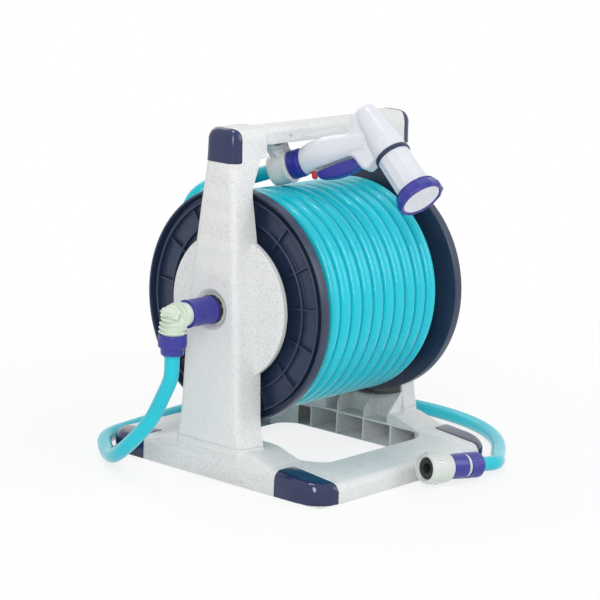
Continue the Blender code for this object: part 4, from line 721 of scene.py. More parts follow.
def arc_outline(half_x, half_y, radius, steps):
    """The outline of a rectangle with round corners."""
    outline = []
    for quarter, (x, y) in enumerate(((1, 1), (-1, 1), (-1, -1), (1, -1))):
        for cosine, sine in arc(90 * quarter, 90 * quarter + 90, steps):
            outline.append((x * (half_x - radius) + radius * cosine, y * (half_y - radius) + radius * sine))
    return outline


# Hoses: route first, because the cords decide how far the reel spreads


def eased(share):
    """A share from 0 to 1 that starts and stops gently."""
    share = min(max(share, 0), 1)
    return share * share * (3 - 2 * share)


def run_of(points):
    """The length of a route up to each of its points."""
    return np.concatenate(([0], np.cumsum(np.linalg.norm(np.diff(points, axis=0), axis=1))))


def smooth_route(points, start_way, end_way, samples=40):
    """A cubic curve through a row of points that leaves and arrives in the given directions."""
    points = np.array(points)
    along, count = run_of(points), len(points)
    rule, target = np.zeros((count, count)), np.zeros((count, 3))
    rule[0, 0] = rule[-1, -1] = 1
    target[0] = np.array(start_way) / np.linalg.norm(start_way)
    target[-1] = np.array(end_way) / np.linalg.norm(end_way)
    for i in range(1, count - 1):
        before, after = along[i] - along[i - 1], along[i + 1] - along[i]
        rule[i, i - 1 : i + 2] = (1 / before, 2 / before + 2 / after, 1 / after)
        target[i] = 3 * ((points[i] - points[i - 1]) / before**2 + (points[i + 1] - points[i]) / after**2)
    ways = np.linalg.solve(rule, target)
    curve = []
    for i in range(count - 1):
        span = along[i + 1] - along[i]
        for t in np.arange(samples) / samples:
            spot = (2 * t**3 - 3 * t**2 + 1) * points[i] + (t**3 - 2 * t**2 + t) * span * ways[i]
            curve.append(
                spot + (3 * t**2 - 2 * t**3) * points[i + 1] + (t**3 - t**2) * span * ways[i + 1]
            )
    curve.append(points[-1])
    return np.array(curve)


def spaced(points, spacing):
    """A route's points at even spaces."""
    along = run_of(points)
    stations = np.linspace(0, along[-1], max(2, round(along[-1] / spacing) + 1))
    return np.column_stack([np.interp(stations, along, points[:, k]) for k in range(3)])


NOZZLE_MOUTH = (-0.0388, 0.0, 0.4089)
nozzle_turn = spun(16.43 - 90, "Z") @ spun(-20.14, "Y") @ spun(-19.23, "X")
NOZZLE = at(*NOZZLE_MOUTH) @ nozzle_turn
nozzle_way = np.array(nozzle_turn.to_3x3() @ Vector((1, 0, 0)))

WINDING_FIRST_ANGLE = 15
WINDING_FIRST_X = -0.1072
WINDING_RADIUS = 0.1389
TURN_PITCH = 0.0224
CROSSING_START = 9.86
CROSSING_TURNS = 0.31
CROSSING_END = (0.1215, 0.119)
STUB = 0.02


def winding_x(turns):
    """How far along the drum an even winding is after a number of turns."""
    return WINDING_FIRST_X - TURN_PITCH * (WINDING_FIRST_ANGLE - 360 * turns + 180) / 360


def winding_place(turns):
    """The hose's middle after a number of turns from its outer end."""
    x, radius = winding_x(turns), WINDING_RADIUS
    share = (turns - CROSSING_START) / CROSSING_TURNS
    if share > 0:
        x = winding_x(CROSSING_START)
        x += (CROSSING_END[0] - x) * eased(share / 0.6)
        radius += (CROSSING_END[1] - radius) * eased((share - 0.35) / 0.65)
    turn = math.radians(WINDING_FIRST_ANGLE - 360 * turns)
    return np.array([x, radius * math.cos(turn), AXLE_HEIGHT + radius * math.sin(turn)])


winding_turns = CROSSING_START + CROSSING_TURNS
winding = [winding_place(winding_turns * i / 900) for i in range(901)]
first_angle = math.radians(WINDING_FIRST_ANGLE)
first_way = np.array([0, -math.sin(first_angle), math.cos(first_angle)])
last_angle = math.radians(WINDING_FIRST_ANGLE - 360 * winding_turns)
last_way = np.array([0, math.sin(last_angle), -math.cos(last_angle)])
winding_first = winding[0] + STUB * first_way
winding_points = [winding_first, *winding, winding[-1] + STUB * last_way]

CUP_LENGTH = 0.0284
tail_end = np.array(NOZZLE_MOUTH) - (CUP_LENGTH + 0.0019) * nozzle_way
leader_start = winding_first + GAP * first_way
leader_route = [winding_first + 0.018 * first_way, (-0.11, 0.106, 0.362), tail_end - 0.022 * nozzle_way]
leader_points = [leader_start, *spaced(smooth_route(leader_route, first_way, nozzle_way), 0.004), tail_end]

LYING = HOSE_RADIUS + 0.0004
TAP_START = (0.0892, -0.2436, 0.0188)
tap_way = np.array((-0.981, 0.17, 0.088))
tap_way /= np.linalg.norm(tap_way)
ELBOW_X = -0.261
hose_top = np.array([ELBOW_X, 0, 0.1797])
hose_end = np.array(TAP_START) - GAP * tap_way
supply_route = [
    hose_top + np.array([0, 0, -0.022]), (-0.262, 0.01, 0.128), (-0.265, 0.032, 0.086),
    (-0.268, 0.064, 0.05), (-0.258, 0.1, 0.024), (-0.236, 0.136, 0.012), (-0.209, 0.172, LYING),
    (-0.17, 0.208, LYING), (-0.112, 0.222, LYING), (-0.044, 0.231, LYING), (0.03, 0.238, LYING),
    (0.1, 0.238, LYING), (0.17, 0.222, LYING), (0.23, 0.18, LYING), (0.275, 0.115, LYING),
    (0.297, 0.04, LYING), (0.295, -0.05, LYING), (0.269, -0.122, LYING), (0.218, -0.183, LYING),
    (0.16, -0.225, 0.012), hose_end - 0.022 * tap_way,
]
supply = smooth_route(supply_route, (0, 0, -1), tap_way)
supply[:, 2] = np.maximum(supply[:, 2], LYING)
supply_points = [hose_top, *spaced(supply, 0.006), hose_end]

wound_hose, free_hose = hose_tree("hose_on_the_drum", True), hose_tree("hose_along_a_route", False)
hose_piece("wound_hose", "hose_winding", "drum", winding_points, wound_hose, 0.0109, 0.0098, 28)
at_drum, at_tail = (tuple(end + np.array([0, REEL_Y, 0])) for end in (leader_start, tail_end))
leader_bodies = ("frame", "nozzle", at_drum, at_tail)
supply_bodies = ("frame", "connector", (ELBOW_X, REEL_Y, 0.045), (ELBOW_X, REEL_Y, 0.172))
skin = (free_hose, HOSE_RADIUS, HOSE_RADIUS, 32)
leader_piece = hose_piece("hose_to_nozzle", "leader_hose", leader_bodies, leader_points, *skin)
supply_piece = hose_piece("hose_to_tap", "supply_hose", supply_bodies, supply_points, *skin)

# Screws


def cross_screw(place, head_radius, head_height, shank_radius, length):
    """A pan-head screw with a cross recess, the top of its head at height 0, pointing along Z."""
    profile = [(0, 0.0), (0.55 * head_radius, -0.08 * head_height), (0.92 * head_radius, -0.5 * head_height)]
    profile += [(head_radius, -head_height), (shank_radius, -head_height)]
    profile += [(shank_radius, -length), (0, -length)]
    arm, deep, thin = 0.55 * head_radius, 0.55 * head_height, 0.16 * head_radius
    cross = [slab((-x, -y, -deep), (x, y, 0.001)) for x, y in ((arm, thin), (thin, arm))]
    return moved(worked(turned(profile, steps=32, hollow=False, back=0.0002), *less(*cross)), place)


# Base

BASE_HALF = (0.187, 0.2)
BASE_CORNER = 0.045
SKIRT_TOP = 0.0225
TOP_ROUND = 0.0115
CEILING = 0.031
RAIL_INNER_X = 0.119
OPENING_FRONT_Y = -0.135
OPENING_BACK_Y = 0.128
WALL = 0.003
GUSSET_FRONT = {-1: -0.029, 1: -0.0605}
CAP_AT = (0.15, 0.12)
RAIL_FALL = 0.105
BEYOND = (0.215, 0.23)
SCREW_HOLE = 0.0023
FOOT_SCREW_X = 0.165
FOOT_SCREWS = ((-0.042, "front"), (0.043, "back"))


def base_skin(offset, low=0.0, edge=0.0):
    """The outside of the base's ring moved out by an offset, its upper edge a quarter of a curve."""
    levels = [(low, edge), (low + edge, 0.0)]
    for cosine, sine in arc(0, 90, 8):
        levels.append((SKIRT_TOP + (TOP_ROUND + offset) * sine, TOP_ROUND * (1 - cosine)))
    rings = []
    for z, inset in levels:
        inset -= offset
        outline = arc_outline(BASE_HALF[0] - inset, BASE_HALF[1] - inset, BASE_CORNER - inset, 14)
        rings.append([(x, y, z) for x, y in outline])
    return lofted(rings)


def column_ring(side, z, outer_x, inner_x, outer_half, inner_half, radius, inner_radius=0.0008):
    """One level of a column: rounded at the two outer corners and a little at the inner ones."""
    corners = ((outer_x, outer_half), (inner_x, inner_half), (inner_x, -inner_half), (outer_x, -outer_half))
    backs = (radius, inner_radius, inner_radius, radius)
    return [(side * x, y, z) for x, y in rounded_corners(corners, backs, steps=7)]


COLUMN_Z = (0.05, 0.075, 0.145, 0.166, 0.23, 0.313, 0.365, 0.39, 0.42, 0.45, 0.47)
OUTER_HALF = (0.0585, 0.0525, 0.049, 0.048, 0.043, 0.036, 0.031, 0.0285, 0.026, 0.025, 0.025)
INNER_HALF = (0.0665, 0.0595, 0.056, 0.055, 0.05, 0.043, 0.034, 0.029, 0.029, 0.028, 0.028)
COLUMN_INNER_X = 0.1495
LUG_INNER_X = 0.12


def softly(z, heights, values, reach=0.01):
    """A table's value at a height, its bends smoothed over a little way."""
    return float(np.mean([np.interp(z + reach * share, heights, values) for share in np.linspace(-1, 1, 9)]))


def column_level(z, offset, inner_shift=0.0, inner_x=None, crown=0.0):
    """A level of the right column moved out by an offset; the crown draws the lug's end in near the top."""
    outer_x = softly(z, (0.25, 0.42), (0.19, 0.1845)) + offset
    if inner_x is None and z < 0.43:
        inner_x = softly(z, (0.388, 0.42, 0.43), (COLUMN_INNER_X, 0.136, 0.1325), 0.004)
    elif inner_x is None:
        inner_x = LUG_INNER_X + crown
    halves = (softly(z, COLUMN_Z, table) + offset for table in (OUTER_HALF, INNER_HALF))
    radius = max(0.004, 0.01 + np.interp(z, (0.39, 0.43), (0, 0.005)) + 0.4 * offset)
    inner_radius = np.interp(z, (0.4, 0.44), (0.0008, 0.004))
    return column_ring(1, z, outer_x, inner_x - inner_shift, *halves, radius, inner_radius)


def sloped(shell):
    """The base's shells with the tops of the rails falling evenly toward the front and back ends."""
    points = []
    for x, y, z in shell[0]:
        past = max(abs(y) - CAP_AT[1], 0)
        points.append((x, y, z - RAIL_FALL * past * float(np.interp(z, (0.01, 0.026), (0, 1)))))
    return points, shell[1]


def between_ribs(ribs, low, high, back=0.0015):
    """Boxes between ribs that follow each other along X."""
    half = WALL / 2
    pairs = itertools.pairwise(ribs)
    return [slab((left + half, *low), (right - half, *high), back=back) for left, right in pairs]


HUMP_Y = (-0.112, -0.105, -0.092, -0.08, -0.07, -0.06, 0)
HUMP_Z = (0.03, 0.0355, 0.0385, 0.0425, 0.0458, 0.047, 0.047)
HUMP_RIM = ((0.1215, 0.0), (0.174, 0.0), (0.1785, 0.0007), (0.182, 0.0024), (0.1848, 0.0054))
HUMP_RIM += ((0.1864, 0.0095), (0.1868, 0.013))
hump_ys = np.linspace(HUMP_Y[0], -HUMP_Y[0], 57)
hump_zs = [softly(-abs(y), HUMP_Y, HUMP_Z, 0.006) for y in hump_ys]
added = []
for side in (-1, 1):
    rings = []
    for x, drop in HUMP_RIM:
        ring = [(side * x, y, max(z - drop, 0.0262)) for y, z in zip(hump_ys, hump_zs)]
        rings.append(ring + [(side * x, -HUMP_Y[0], 0.024), (side * x, HUMP_Y[0], 0.024)])
    added.append(lofted(rings))
    levels = []
    for share in np.linspace(0, 1, 9):
        flare = (1 - share) ** 2.2
        halves = (0.0585 + 0.006 * flare, 0.0665 + 0.005 * flare)
        outer_x = 0.1902 - 0.0034 * flare
        levels.append(column_ring(side, 0.03 + 0.02 * share, outer_x, COLUMN_INNER_X, *halves, 0.01))
    added.append(lofted(levels))
    gusset = ((0.1205, 0.032), (0.1205, 0.0472), (0.1492, 0.078), (0.1497, 0.032))
    gusset = lofted([[(side * x, y, z) for x, z in gusset] for y in (GUSSET_FRONT[side], 0.0605)])
    added.append(worked(gusset, *less(rod(0.167, 0.115, 0.155, axle(side), 160))))

opening_y, opening_half = (OPENING_BACK_Y + OPENING_FRONT_Y) / 2, (OPENING_BACK_Y - OPENING_FRONT_Y) / 2
opening = slice_of(arc_outline(RAIL_INNER_X, opening_half, 0.035, 14), 0.08, at(0, opening_y, 0.02))
cells = []
for side in (-1, 1):
    guard = rod(0.17, 0.11, 0.16, axle(side), 160)
    for front, back in itertools.pairwise((-0.115, -0.066, -0.016, 0.033, 0.082, 0.129)):
        y_low, y_high = front + WALL / 2, back - WALL / 2
        top = CEILING - 0.0026 if back > 0.12 else CEILING
        x_low, x_high = sorted((side * 0.117, side * 0.1805))
        cells.append(slab((x_low, y_low, -0.002), (x_high, y_high, top), back=0.0015))
        if abs((front + back) / 2) < 0.06:
            x_low, x_high = sorted((side * 0.112, side * 0.1462))
            y_low, y_high = max(y_low, GUSSET_FRONT[side] + WALL), min(y_high, 0.0575)
            cells.append(worked(slab((x_low, y_low, 0.0338), (x_high, y_high, 0.09)), *less(guard)))
    for end_y in (-1, 1):
        corner = arc_outline(0.0275, 0.0285, 0.027, 10)
        cells.append(slice_of(corner, 0.0304, at(side * 0.1495, end_y * 0.1605, 0.0132)))
front_ribs, back_ribs = (-0.1195, -0.06, 0.0, 0.06, 0.1195), (-0.084, -0.042, 0.0, 0.042, 0.084)
cells += between_ribs(front_ribs, (-0.1935, -0.002), (OPENING_FRONT_Y - WALL, CEILING))
cells += between_ribs(back_ribs, (OPENING_BACK_Y - 0.002, -0.002), (0.1935, CEILING))


def cap_corner(low, high, back, gap=0.0):
    """The block that bounds a corner cap, its free corner rounded."""
    x, y = CAP_AT[0] + gap, CAP_AT[1] + gap
    outline = rounded_corners([(BEYOND[0], y), BEYOND, (x, BEYOND[1]), (x, y)], back, steps=6)
    return slice_of(outline, high - low, at(0, 0, (low + high) / 2))


seat = worked(cap_corner(-0.01, 0.06, 0.0035), *less(base_skin(-0.0026, -0.012)))
seats = [mirrored(seat, side, end_y) for side in (-1, 1) for end_y in (-1, 1)]
hole = rod(SCREW_HOLE, 0.02, 0.06)
holes = [moved(hole, at(side * FOOT_SCREW_X, y, 0)) for side in (-1, 1) for y, depth in FOOT_SCREWS]
base_changes = plus(*added) + less(opening, *cells, *seats, *holes)
base = sloped(worked(base_skin(0, edge=0.0008), *base_changes, rounding=0.0008))
piece("base_frame_moulding", "base_frame", "frame", "speckled_plastic", base)

cap_changes = [("INTERSECT", base_skin(0.0008)), *less(base_skin(-0.0023, -0.005))]
corner_cap = cap_corner(0.0005, 0.06, 0.004, GAP)
corner_cap = sloped(worked(corner_cap, *cap_changes, rounding=0.0007, segments=3))
for side, end in SIDES:
    for end_y, depth in ((-1, "front"), (1, "back")):
        cap = mirrored(corner_cap, side, end_y)
        piece(f"corner_cap_{end}_{depth}", f"base_cap_{end}_{depth}", "frame", "navy_gloss_plastic", cap)

# Columns

LUG_Z = 0.456


def top_block(gap):
    """The block that bounds a top cap, drawn in X and Z and rounded where the lug carries on."""
    x, low, high, radius = 0.168 + gap, 0.426 + gap - GAP, 0.4725, 0.011
    outline = [(x, low), (BEYOND[0], low), (BEYOND[0], high)]
    for cosine, sine in arc(0, 90, 9):
        outline.append((x + radius - radius * sine, high - radius + radius * cosine))
    upright = Matrix(((1, 0, 0, 0), (0, 0, 1, 0), (0, 1, 0, 0), (0, 0, 0, 1)))
    return slice_of(rounded_corners(outline, 0.003, least=60), 0.12, upright)


def cap_inside(offset, *heights):
    """The column's top as it carries on inside a cap, moved out by an offset."""
    return lofted([column_level(z, offset, 0.01) for z in heights])


top_levels = [(z, 0) for z in (0.42, 0.43, 0.44, 0.449, 0.4555)]
top_levels += [(0.4593, 0.0006), (0.4633, 0.002), (0.4664, 0.0038), (0.469, 0.0064), (0.4705, 0.01)]
top_skin = lofted([column_level(z, 0.0008 - inset, 0.01) for z, inset in top_levels])
cap_changes = [("INTERSECT", top_skin), *less(cap_inside(-0.0023, 0.42, 0.449, 0.4615))]
right_cap = worked(top_block(GAP), *cap_changes, rounding=0.0006, segments=3)

column_heights = [0.0503, 0.052, 0.056, 0.062, *np.arange(0.07, 0.425, 0.01), 0.4294, 0.4301]
column_heights += [0.4305, 0.44, 0.45, 0.454]
rings = [column_level(z, 0) for z in column_heights]
for z, inset in ((0.459, 0.0006), (0.463, 0.002), (0.466, 0.0038), (0.4685, 0.0064), (0.47, 0.01)):
    rings.append(column_level(z, -inset, crown=0.3 * inset))
hollow = [column_level(z, -WALL, 0.006) for z in (0.053, *np.arange(0.07, 0.411, 0.02), 0.415)]
hollow += [column_level(z, -0.0058, shift) for z, shift in ((0.424, 0.006), (0.4292, 0.008))]
hollow += [column_level(z, -0.0064, -WALL, LUG_INNER_X) for z in (0.4303, 0.4595)]
shield = [(0.028, 0.158), (0.1, 0.158), (0.1, 0.15), (0.097, 0.15), (0.097, 0.155), (0.028, 0.155)]
shield = turned(shield, axle(), 144, back=0.0012)
countersink = [(0, 0.1858), (0.0219, 0.1858), (0.0232, 0.1874), (0.0262, 0.1886)]
countersink = turned(countersink + [(0.0297, 0.1915), (0, 0.1915)], axle(), 96, False, 0)
seat = worked(top_block(0), *less(cap_inside(-0.0026, 0.418, 0.449, 0.4612)))
foot_holes = [rod(SCREW_HOLE, 0.04, 0.059, at(FOOT_SCREW_X, y, 0)) for y, depth in FOOT_SCREWS]
lug_hole = rod(SCREW_HOLE, 0.112, 0.127, at(0, 0, LUG_Z) @ spun(90, "Y"))
right_column = worked(
    lofted(rings),
    *less(lofted(hollow)),
    *plus(shield, rod(0.0335, 0.155, 0.189, axle(), 72)),
    *less(rod(0.0215, 0.145, 0.2, axle(), 96), countersink, seat, *foot_holes, lug_hole),
    rounding=0.0008,
)
bush = [(0.0153, 0.1855), (0.0212, 0.1855), (0.0212, 0.1547), (0.027, 0.1547)]
bush = turned(bush + [(0.027, 0.1508), (0.0153, 0.1508)], axle(), 96)
for side, end in SIDES:
    column = mirrored(right_column, side)
    piece(f"{end}_column_moulding", f"{end}_column", "frame", "speckled_plastic", column)
    piece(f"{end}_column_cap", f"{end}_top_cap", "frame", "navy_gloss_plastic", mirrored(right_cap, side))
    piece(f"{end}_bush", f"{end}_hub_bush", "frame", "white_plastic", mirrored(bush, side))
    for y, depth in FOOT_SCREWS:
        place = at(side * FOOT_SCREW_X, y, 0.0281) @ spun(180, "X")
        screw = cross_screw(place, 0.0042, 0.0026, 0.002, 0.031)
        piece(f"{end}_foot_screw_{depth}", f"{end}_column_screw_{depth}", "frame", "steel", screw)
    screw = cross_screw(at(side * 0.1259, 0, LUG_Z) @ spun(90 * side, "Y"), 0.0042, 0.0026, 0.002, 0.0124)
    piece(f"{end}_lug_screw", f"{end}_handle_screw", "frame", "steel", screw)

# Handle and nozzle holder

HANDLE_HALF = 0.1197
HANDLE_ROUND = 0.009

section = [(0.008 + HANDLE_ROUND * sine, 0.459 + HANDLE_ROUND * cosine) for cosine, sine in arc(0, 90, 8)]
section += [(0.017, 0.452), (0.017, 0.4462), (0.0164, 0.4446), (0.015, 0.444)]
section = [(-y, z) for y, z in section[::-1]] + section
handle = lofted([[(x, y, z) for y, z in section] for x in (-HANDLE_HALF, HANDLE_HALF)])
handle_ribs = (-0.1182, -0.096, -0.03, 0.03, 0.096, 0.1182)
cells = between_ribs(handle_ribs, (-0.014, 0.442), (0.014, 0.4625), 0.001)
pin_place = at(-0.063, 0, 0.4535) @ spun(90, "X")
pin_hole = rod(SCREW_HOLE, -0.025, 0.025, pin_place)
handle = worked(handle, *less(*cells, lug_hole, mirrored(lug_hole, -1), pin_hole), rounding=0.0006)
piece("handle_moulding", "carry_handle", "frame", "speckled_plastic", handle)
pin = rod(0.002, -0.0168, 0.0168, pin_place, 24, 0.0003)
piece("holder_pin_rod", "holder_pin", "frame", "steel", pin)

GRIP = NOZZLE @ spun(90, "Y")
cup = [(0.0162, 0.0), (0.0235, 0.0), (0.0235, -0.004), (0.023, -0.0052), (0.0222, -0.02)]
cup += [(0.0224, -0.025), (0.0215, -CUP_LENGTH), (0.0162, -CUP_LENGTH)]
cup = turned(cup, GRIP, 96, back=0.001)
bracket_levels = (
    (0.461, -0.09, -0.036, -0.0133, 0.0133),
    (0.443, -0.09, -0.036, -0.0133, 0.0133),
    (0.4385, -0.086, -0.036, -0.002, 0.015),
    (0.43, -0.072, -0.034, 0.0075, 0.019),
    (0.42, -0.06, -0.034, 0.006, 0.022),
    (0.412, -0.058, -0.036, 0.006, 0.02),
)


def bracket_ring(level, wall):
    """A level of the bracket given by its height, its limits along X and along Y, inside a wall."""
    z, low, high, front, back = level
    front = front - 0.01 if wall else front
    left, right, rear = low + wall, high - wall, back - wall
    corners = [(left, front), (right, front), (right, rear), (left, rear)]
    return [(x, y, z) for x, y in rounded_corners(corners, 0.0015)]


channel = ((0.4575, *bracket_levels[0][1:]), *bracket_levels[1:3])
channel = lofted([bracket_ring(level, WALL) for level in channel])
bracket = worked(lofted([bracket_ring(level, 0) for level in bracket_levels]), *less(channel))
cup_front = slab((0.0001, -0.03, -0.03), (0.0401, 0.03, 0.033), NOZZLE)
cuts = less(rod(0.0182, -0.06, 0.04, GRIP, 96), cup_front, pin_hole)
holder = worked(cup, *plus(bracket), *cuts, rounding=0.0006)
piece("nozzle_cup", "nozzle_holder", "frame", "speckled_plastic", holder)

# Drum

flange = [(0.0153, 0.136), (0.1155, 0.136), (0.1155, 0.1425), (0.1185, 0.1425), (0.1185, 0.136)]
flange += [(0.1435, 0.136), (0.1435, 0.144), (0.1465, 0.144), (0.1465, 0.136), (0.153, 0.136)]
flange += [(0.1545, 0.147), (0.1575, 0.147), (0.1575, 0.133), (0.0717, 0.133), (0.0717, 0.127)]
flange += [(0.068, 0.127), (0.068, 0.133), (0.0153, 0.133)]
flange = turned(flange, axle(), 160, back=0.0009)
spoke = slab((0.1012, -0.0012, 0.1356), (0.144, 0.0012, 0.1414), back=0.0005)
spokes = copies_round(spoke, 15, axle(), "navy_plastic")
for side, end in SIDES:
    faces = mirrored(flange, side), mirrored(spokes, side)
    piece(f"{end}_drum_flange", f"{end}_flange", "drum", "navy_plastic", *faces)

# Crank

CRANK_ANGLE = -45
CRANK_LENGTH = 0.1
CRANK_HUB = 0.018
CRANK_END = 0.013

outline = [(CRANK_HUB * cosine, CRANK_HUB * sine) for cosine, sine in arc(90, 270, 18)]
outline += [(CRANK_LENGTH + CRANK_END * cosine, CRANK_END * sine) for cosine, sine in arc(-90, 90, 18)]
crank_frame = Matrix(((0, 0, 1, 0.203), (1, 0, 0, 0), (0, 1, 0, AXLE_HEIGHT), (0, 0, 0, 1)))
crank_frame = at(0, 0, AXLE_HEIGHT) @ spun(CRANK_ANGLE, "X") @ at(0, 0, -AXLE_HEIGHT) @ crank_frame
pocket = [(0.026, -0.0105), (0.086, -0.0075), (0.086, 0.0075), (0.026, 0.0105)]
pocket = slice_of(rounded_corners(pocket, 0.005, steps=6), 0.004, at(0, 0, 0.0052))
turn = math.radians(CRANK_ANGLE)
KNOB = at(0, CRANK_LENGTH * math.cos(turn), AXLE_HEIGHT + CRANK_LENGTH * math.sin(turn)) @ spun(90, "Y")
seat_hole, knob_hole = rod(0.0104, 0.19, 0.205, axle(), 6), rod(0.0053, 0.19, 0.215, KNOB, 48)
cuts = less(moved(pocket, crank_frame), seat_hole, knob_hole, rod(SCREW_HOLE, 0.185, 0.23, axle(), 24))
crank = worked(slice_of(outline, 0.01, crank_frame, 0.0016), *cuts)
piece("crank", "crank_arm", "drum", "navy_plastic", crank)
screw = cross_screw(at(0.2111, 0, AXLE_HEIGHT) @ spun(90, "Y"), 0.005, 0.0028, 0.002, 0.024)
piece("crank_centre_screw", "crank_screw", "drum", "steel", screw)
pin = [(0, 0.268), (0.004, 0.268), (0.005, 0.267), (0.005, 0.1977), (0.009, 0.1977)]
pin = turned(pin + [(0.009, 0.1947), (0, 0.1947)], KNOB, 48, False, 0.0003)
piece("knob_axle", "knob_pin", "drum", "steel", pin)


def gripped(count, depth, low, high, least):
    """A change of radius that makes shallow grooves along a turned grip between two heights."""

    def groove(turn, height):
        fade = min(1, (height - low) / 0.002, (high - height) / 0.002)
        return depth * fade * (0.5 - 0.5 * math.cos(count * turn)) ** 3

    return lambda radius, turn, z: radius - (groove(turn, z) if radius >= least and low <= z <= high else 0)


def faceted(count, depth, low, high, least):
    """A change of radius that makes soft flats round a turned piece between two heights."""

    def flat(turn):
        return depth * (1 - (abs((turn * count / math.tau) % 1 - 0.5) * 2) ** 2)

    return lambda radius, turn, z: radius - (flat(turn) if radius >= least and low <= z <= high else 0)


def shaped_turn(profile, place, steps, change, fine, hollow=True, back=0.0005):
    """A turned piece whose radius varies round it. Long edges are cut into fine ones first."""
    cut_up = []
    for here, there in zip(profile, profile[1:] + (profile[:1] if hollow else profile[-1:])):
        parts = max(1, math.ceil(math.dist(here, there) / fine))
        cut_up += [tuple(a + (b - a) * k / parts for a, b in zip(here, there)) for k in range(parts)]
    points, faces = turned(cut_up, Matrix(), steps, hollow, back)
    bent = []
    for x, y, z in points:
        turn = math.atan2(y, x)
        radius = change(math.hypot(x, y), turn, z)
        bent.append(tuple(place @ Vector((radius * math.cos(turn), radius * math.sin(turn), z))))
    return bent, faces


knob = [(0, 0.2803), (0.008, 0.2801), (0.0118, 0.279), (0.0143, 0.2768), (0.0158, 0.2735)]
knob += [(0.0165, 0.2683), (0.0162, 0.26), (0.015, 0.2473), (0.0136, 0.236), (0.0127, 0.226)]
knob += [(0.0125, 0.218), (0.0128, 0.209), (0.0053, 0.209), (0.0053, 0.269), (0, 0.269)]
knob = shaped_turn(knob, KNOB, 120, gripped(12, 0.0007, 0.214, 0.272, 0.01), 0.003, False, 0.0006)
piece("knob_grip", "crank_knob", "knob", "black_plastic", knob)

# Inlet connector

collar = [(0.01, 0.238), (0.0188, 0.238), (0.019, 0.2362), (0.0182, 0.235), (0.0182, 0.1985)]
collar += [(0.019, 0.197), (0.019, 0.1925), (0.0154, 0.1925), (0.0154, 0.2158), (0.01, 0.2158)]
collar = shaped_turn(collar, axle(-1), 160, gripped(40, 0.00035, 0.201, 0.233, 0.017), 0.004)
piece("inlet_collar", "connector_collar", "connector", "purple_plastic", collar)
cuts = []
for number in range(4):
    place = at(-0.1864, 0, AXLE_HEIGHT) @ spun(45 * number + 22.5, "X")
    cuts += less(slab((-0.0022, -0.025, -0.0024), (0.0022, 0.025, 0.0024), place))
claws = worked(band(0.0154, 0.0195, 0.1922, 0.1868, axle(-1), back=0.0004), *cuts, rounding=0.0003)
piece("claws", "claw_ring", "connector", "black_plastic", claws)

BEND = 0.0225
RIB = 0.0014
bend_centre = np.array([-0.2385, 0, AXLE_HEIGHT - BEND])


def swept(start_x, end_z, radius, sides=64):
    """A round pipe from the collar's end, round the bend and down."""
    ways = [np.array([cosine, 0, sine]) for cosine, sine in arc(90, 180, 18)]
    stations = [(np.array([start_x, 0, AXLE_HEIGHT]), ways[0])]
    stations += [(bend_centre + BEND * way, way) for way in ways]
    stations += [(np.array([ELBOW_X, 0, end_z]), ways[-1])]
    side = np.array([0, 1, 0])
    rings = []
    for place, way in stations:
        rings.append([place + radius * (cosine * way + sine * side) for cosine, sine in circle(sides)])
    return lofted(rings)


def half_disc(radius, start, place):
    """A thin disc round the origin of its own X and Y, kept only where x is below start."""
    outline = [(min(radius * cosine, start), radius * sine) for cosine, sine in circle(72)]
    outline = [spot for k, spot in enumerate(outline) if spot != outline[k - 1]]
    return slice_of(rounded_corners(outline, 0.0004, least=60), RIB, place, 0.0004, 2)


pipe = worked(swept(-0.2383, 0.2073, 0.0154), *less(swept(-0.23, 0.2, 0.009, 32)))
elbow = [pipe, half_disc(0.0189, 0.1, at(ELBOW_X, 0, AXLE_HEIGHT - 0.02))]
for low, high, reach in ((0.0142, -0.0115, 0.0184), (0.0086, -0.0045, 0.0176), (0.0028, 0.0025, 0.016)):
    stand = Matrix(((0, 0, 1, ELBOW_X - high), (0, 1, 0, 0), (-1, 0, 0, AXLE_HEIGHT), (0, 0, 0, 1)))
    elbow.append(half_disc(reach + 0.0003, 0.0004 - high, at(ELBOW_X, 0, AXLE_HEIGHT - low)))
    elbow.append(half_disc(reach, low + 0.0004, stand))
elbow.append(half_disc(0.0126, -0.002, at(ELBOW_X, 0, AXLE_HEIGHT + 0.0032)))
outline = [(-0.002, -0.0016), (-0.01, -0.0016), (-0.0088, 0.0034), (-0.005, 0.009), (-0.002, 0.0112)]
place = Matrix(((1, 0, 0, ELBOW_X), (0, 0, 1, 0), (0, 1, 0, AXLE_HEIGHT), (0, 0, 0, 1)))
elbow.append(slice_of(rounded_corners(outline, 0.003, steps=5), 0.0322, place, 0.0034, 5))
place = at(ELBOW_X - 0.0086, 0, AXLE_HEIGHT + 0.0066) @ spun(45, "Y")
elbow.append(slab((0.0, -0.0167, -0.0005), (0.0085, 0.0167, 0.0005), place, 0.0004))
piece("elbow", "ribbed_elbow", "connector", "cream_plastic", *elbow)
nut = [(0.009, 0.207), (0.0186, 0.207), (0.019, 0.206), (0.019, 0.1915), (0.0178, 0.1898)]
nut += [(0.0158, 0.1888), (0.0152, 0.1812), (0.0146, 0.18), (0.009, 0.18)]
nut = shaped_turn(nut, at(ELBOW_X, 0, 0), 160, gripped(30, 0.0005, 0.1925, 0.205, 0.018), 0.003)
piece("hose_nut", "elbow_nut", "connector", "purple_plastic", nut)

# Nozzle

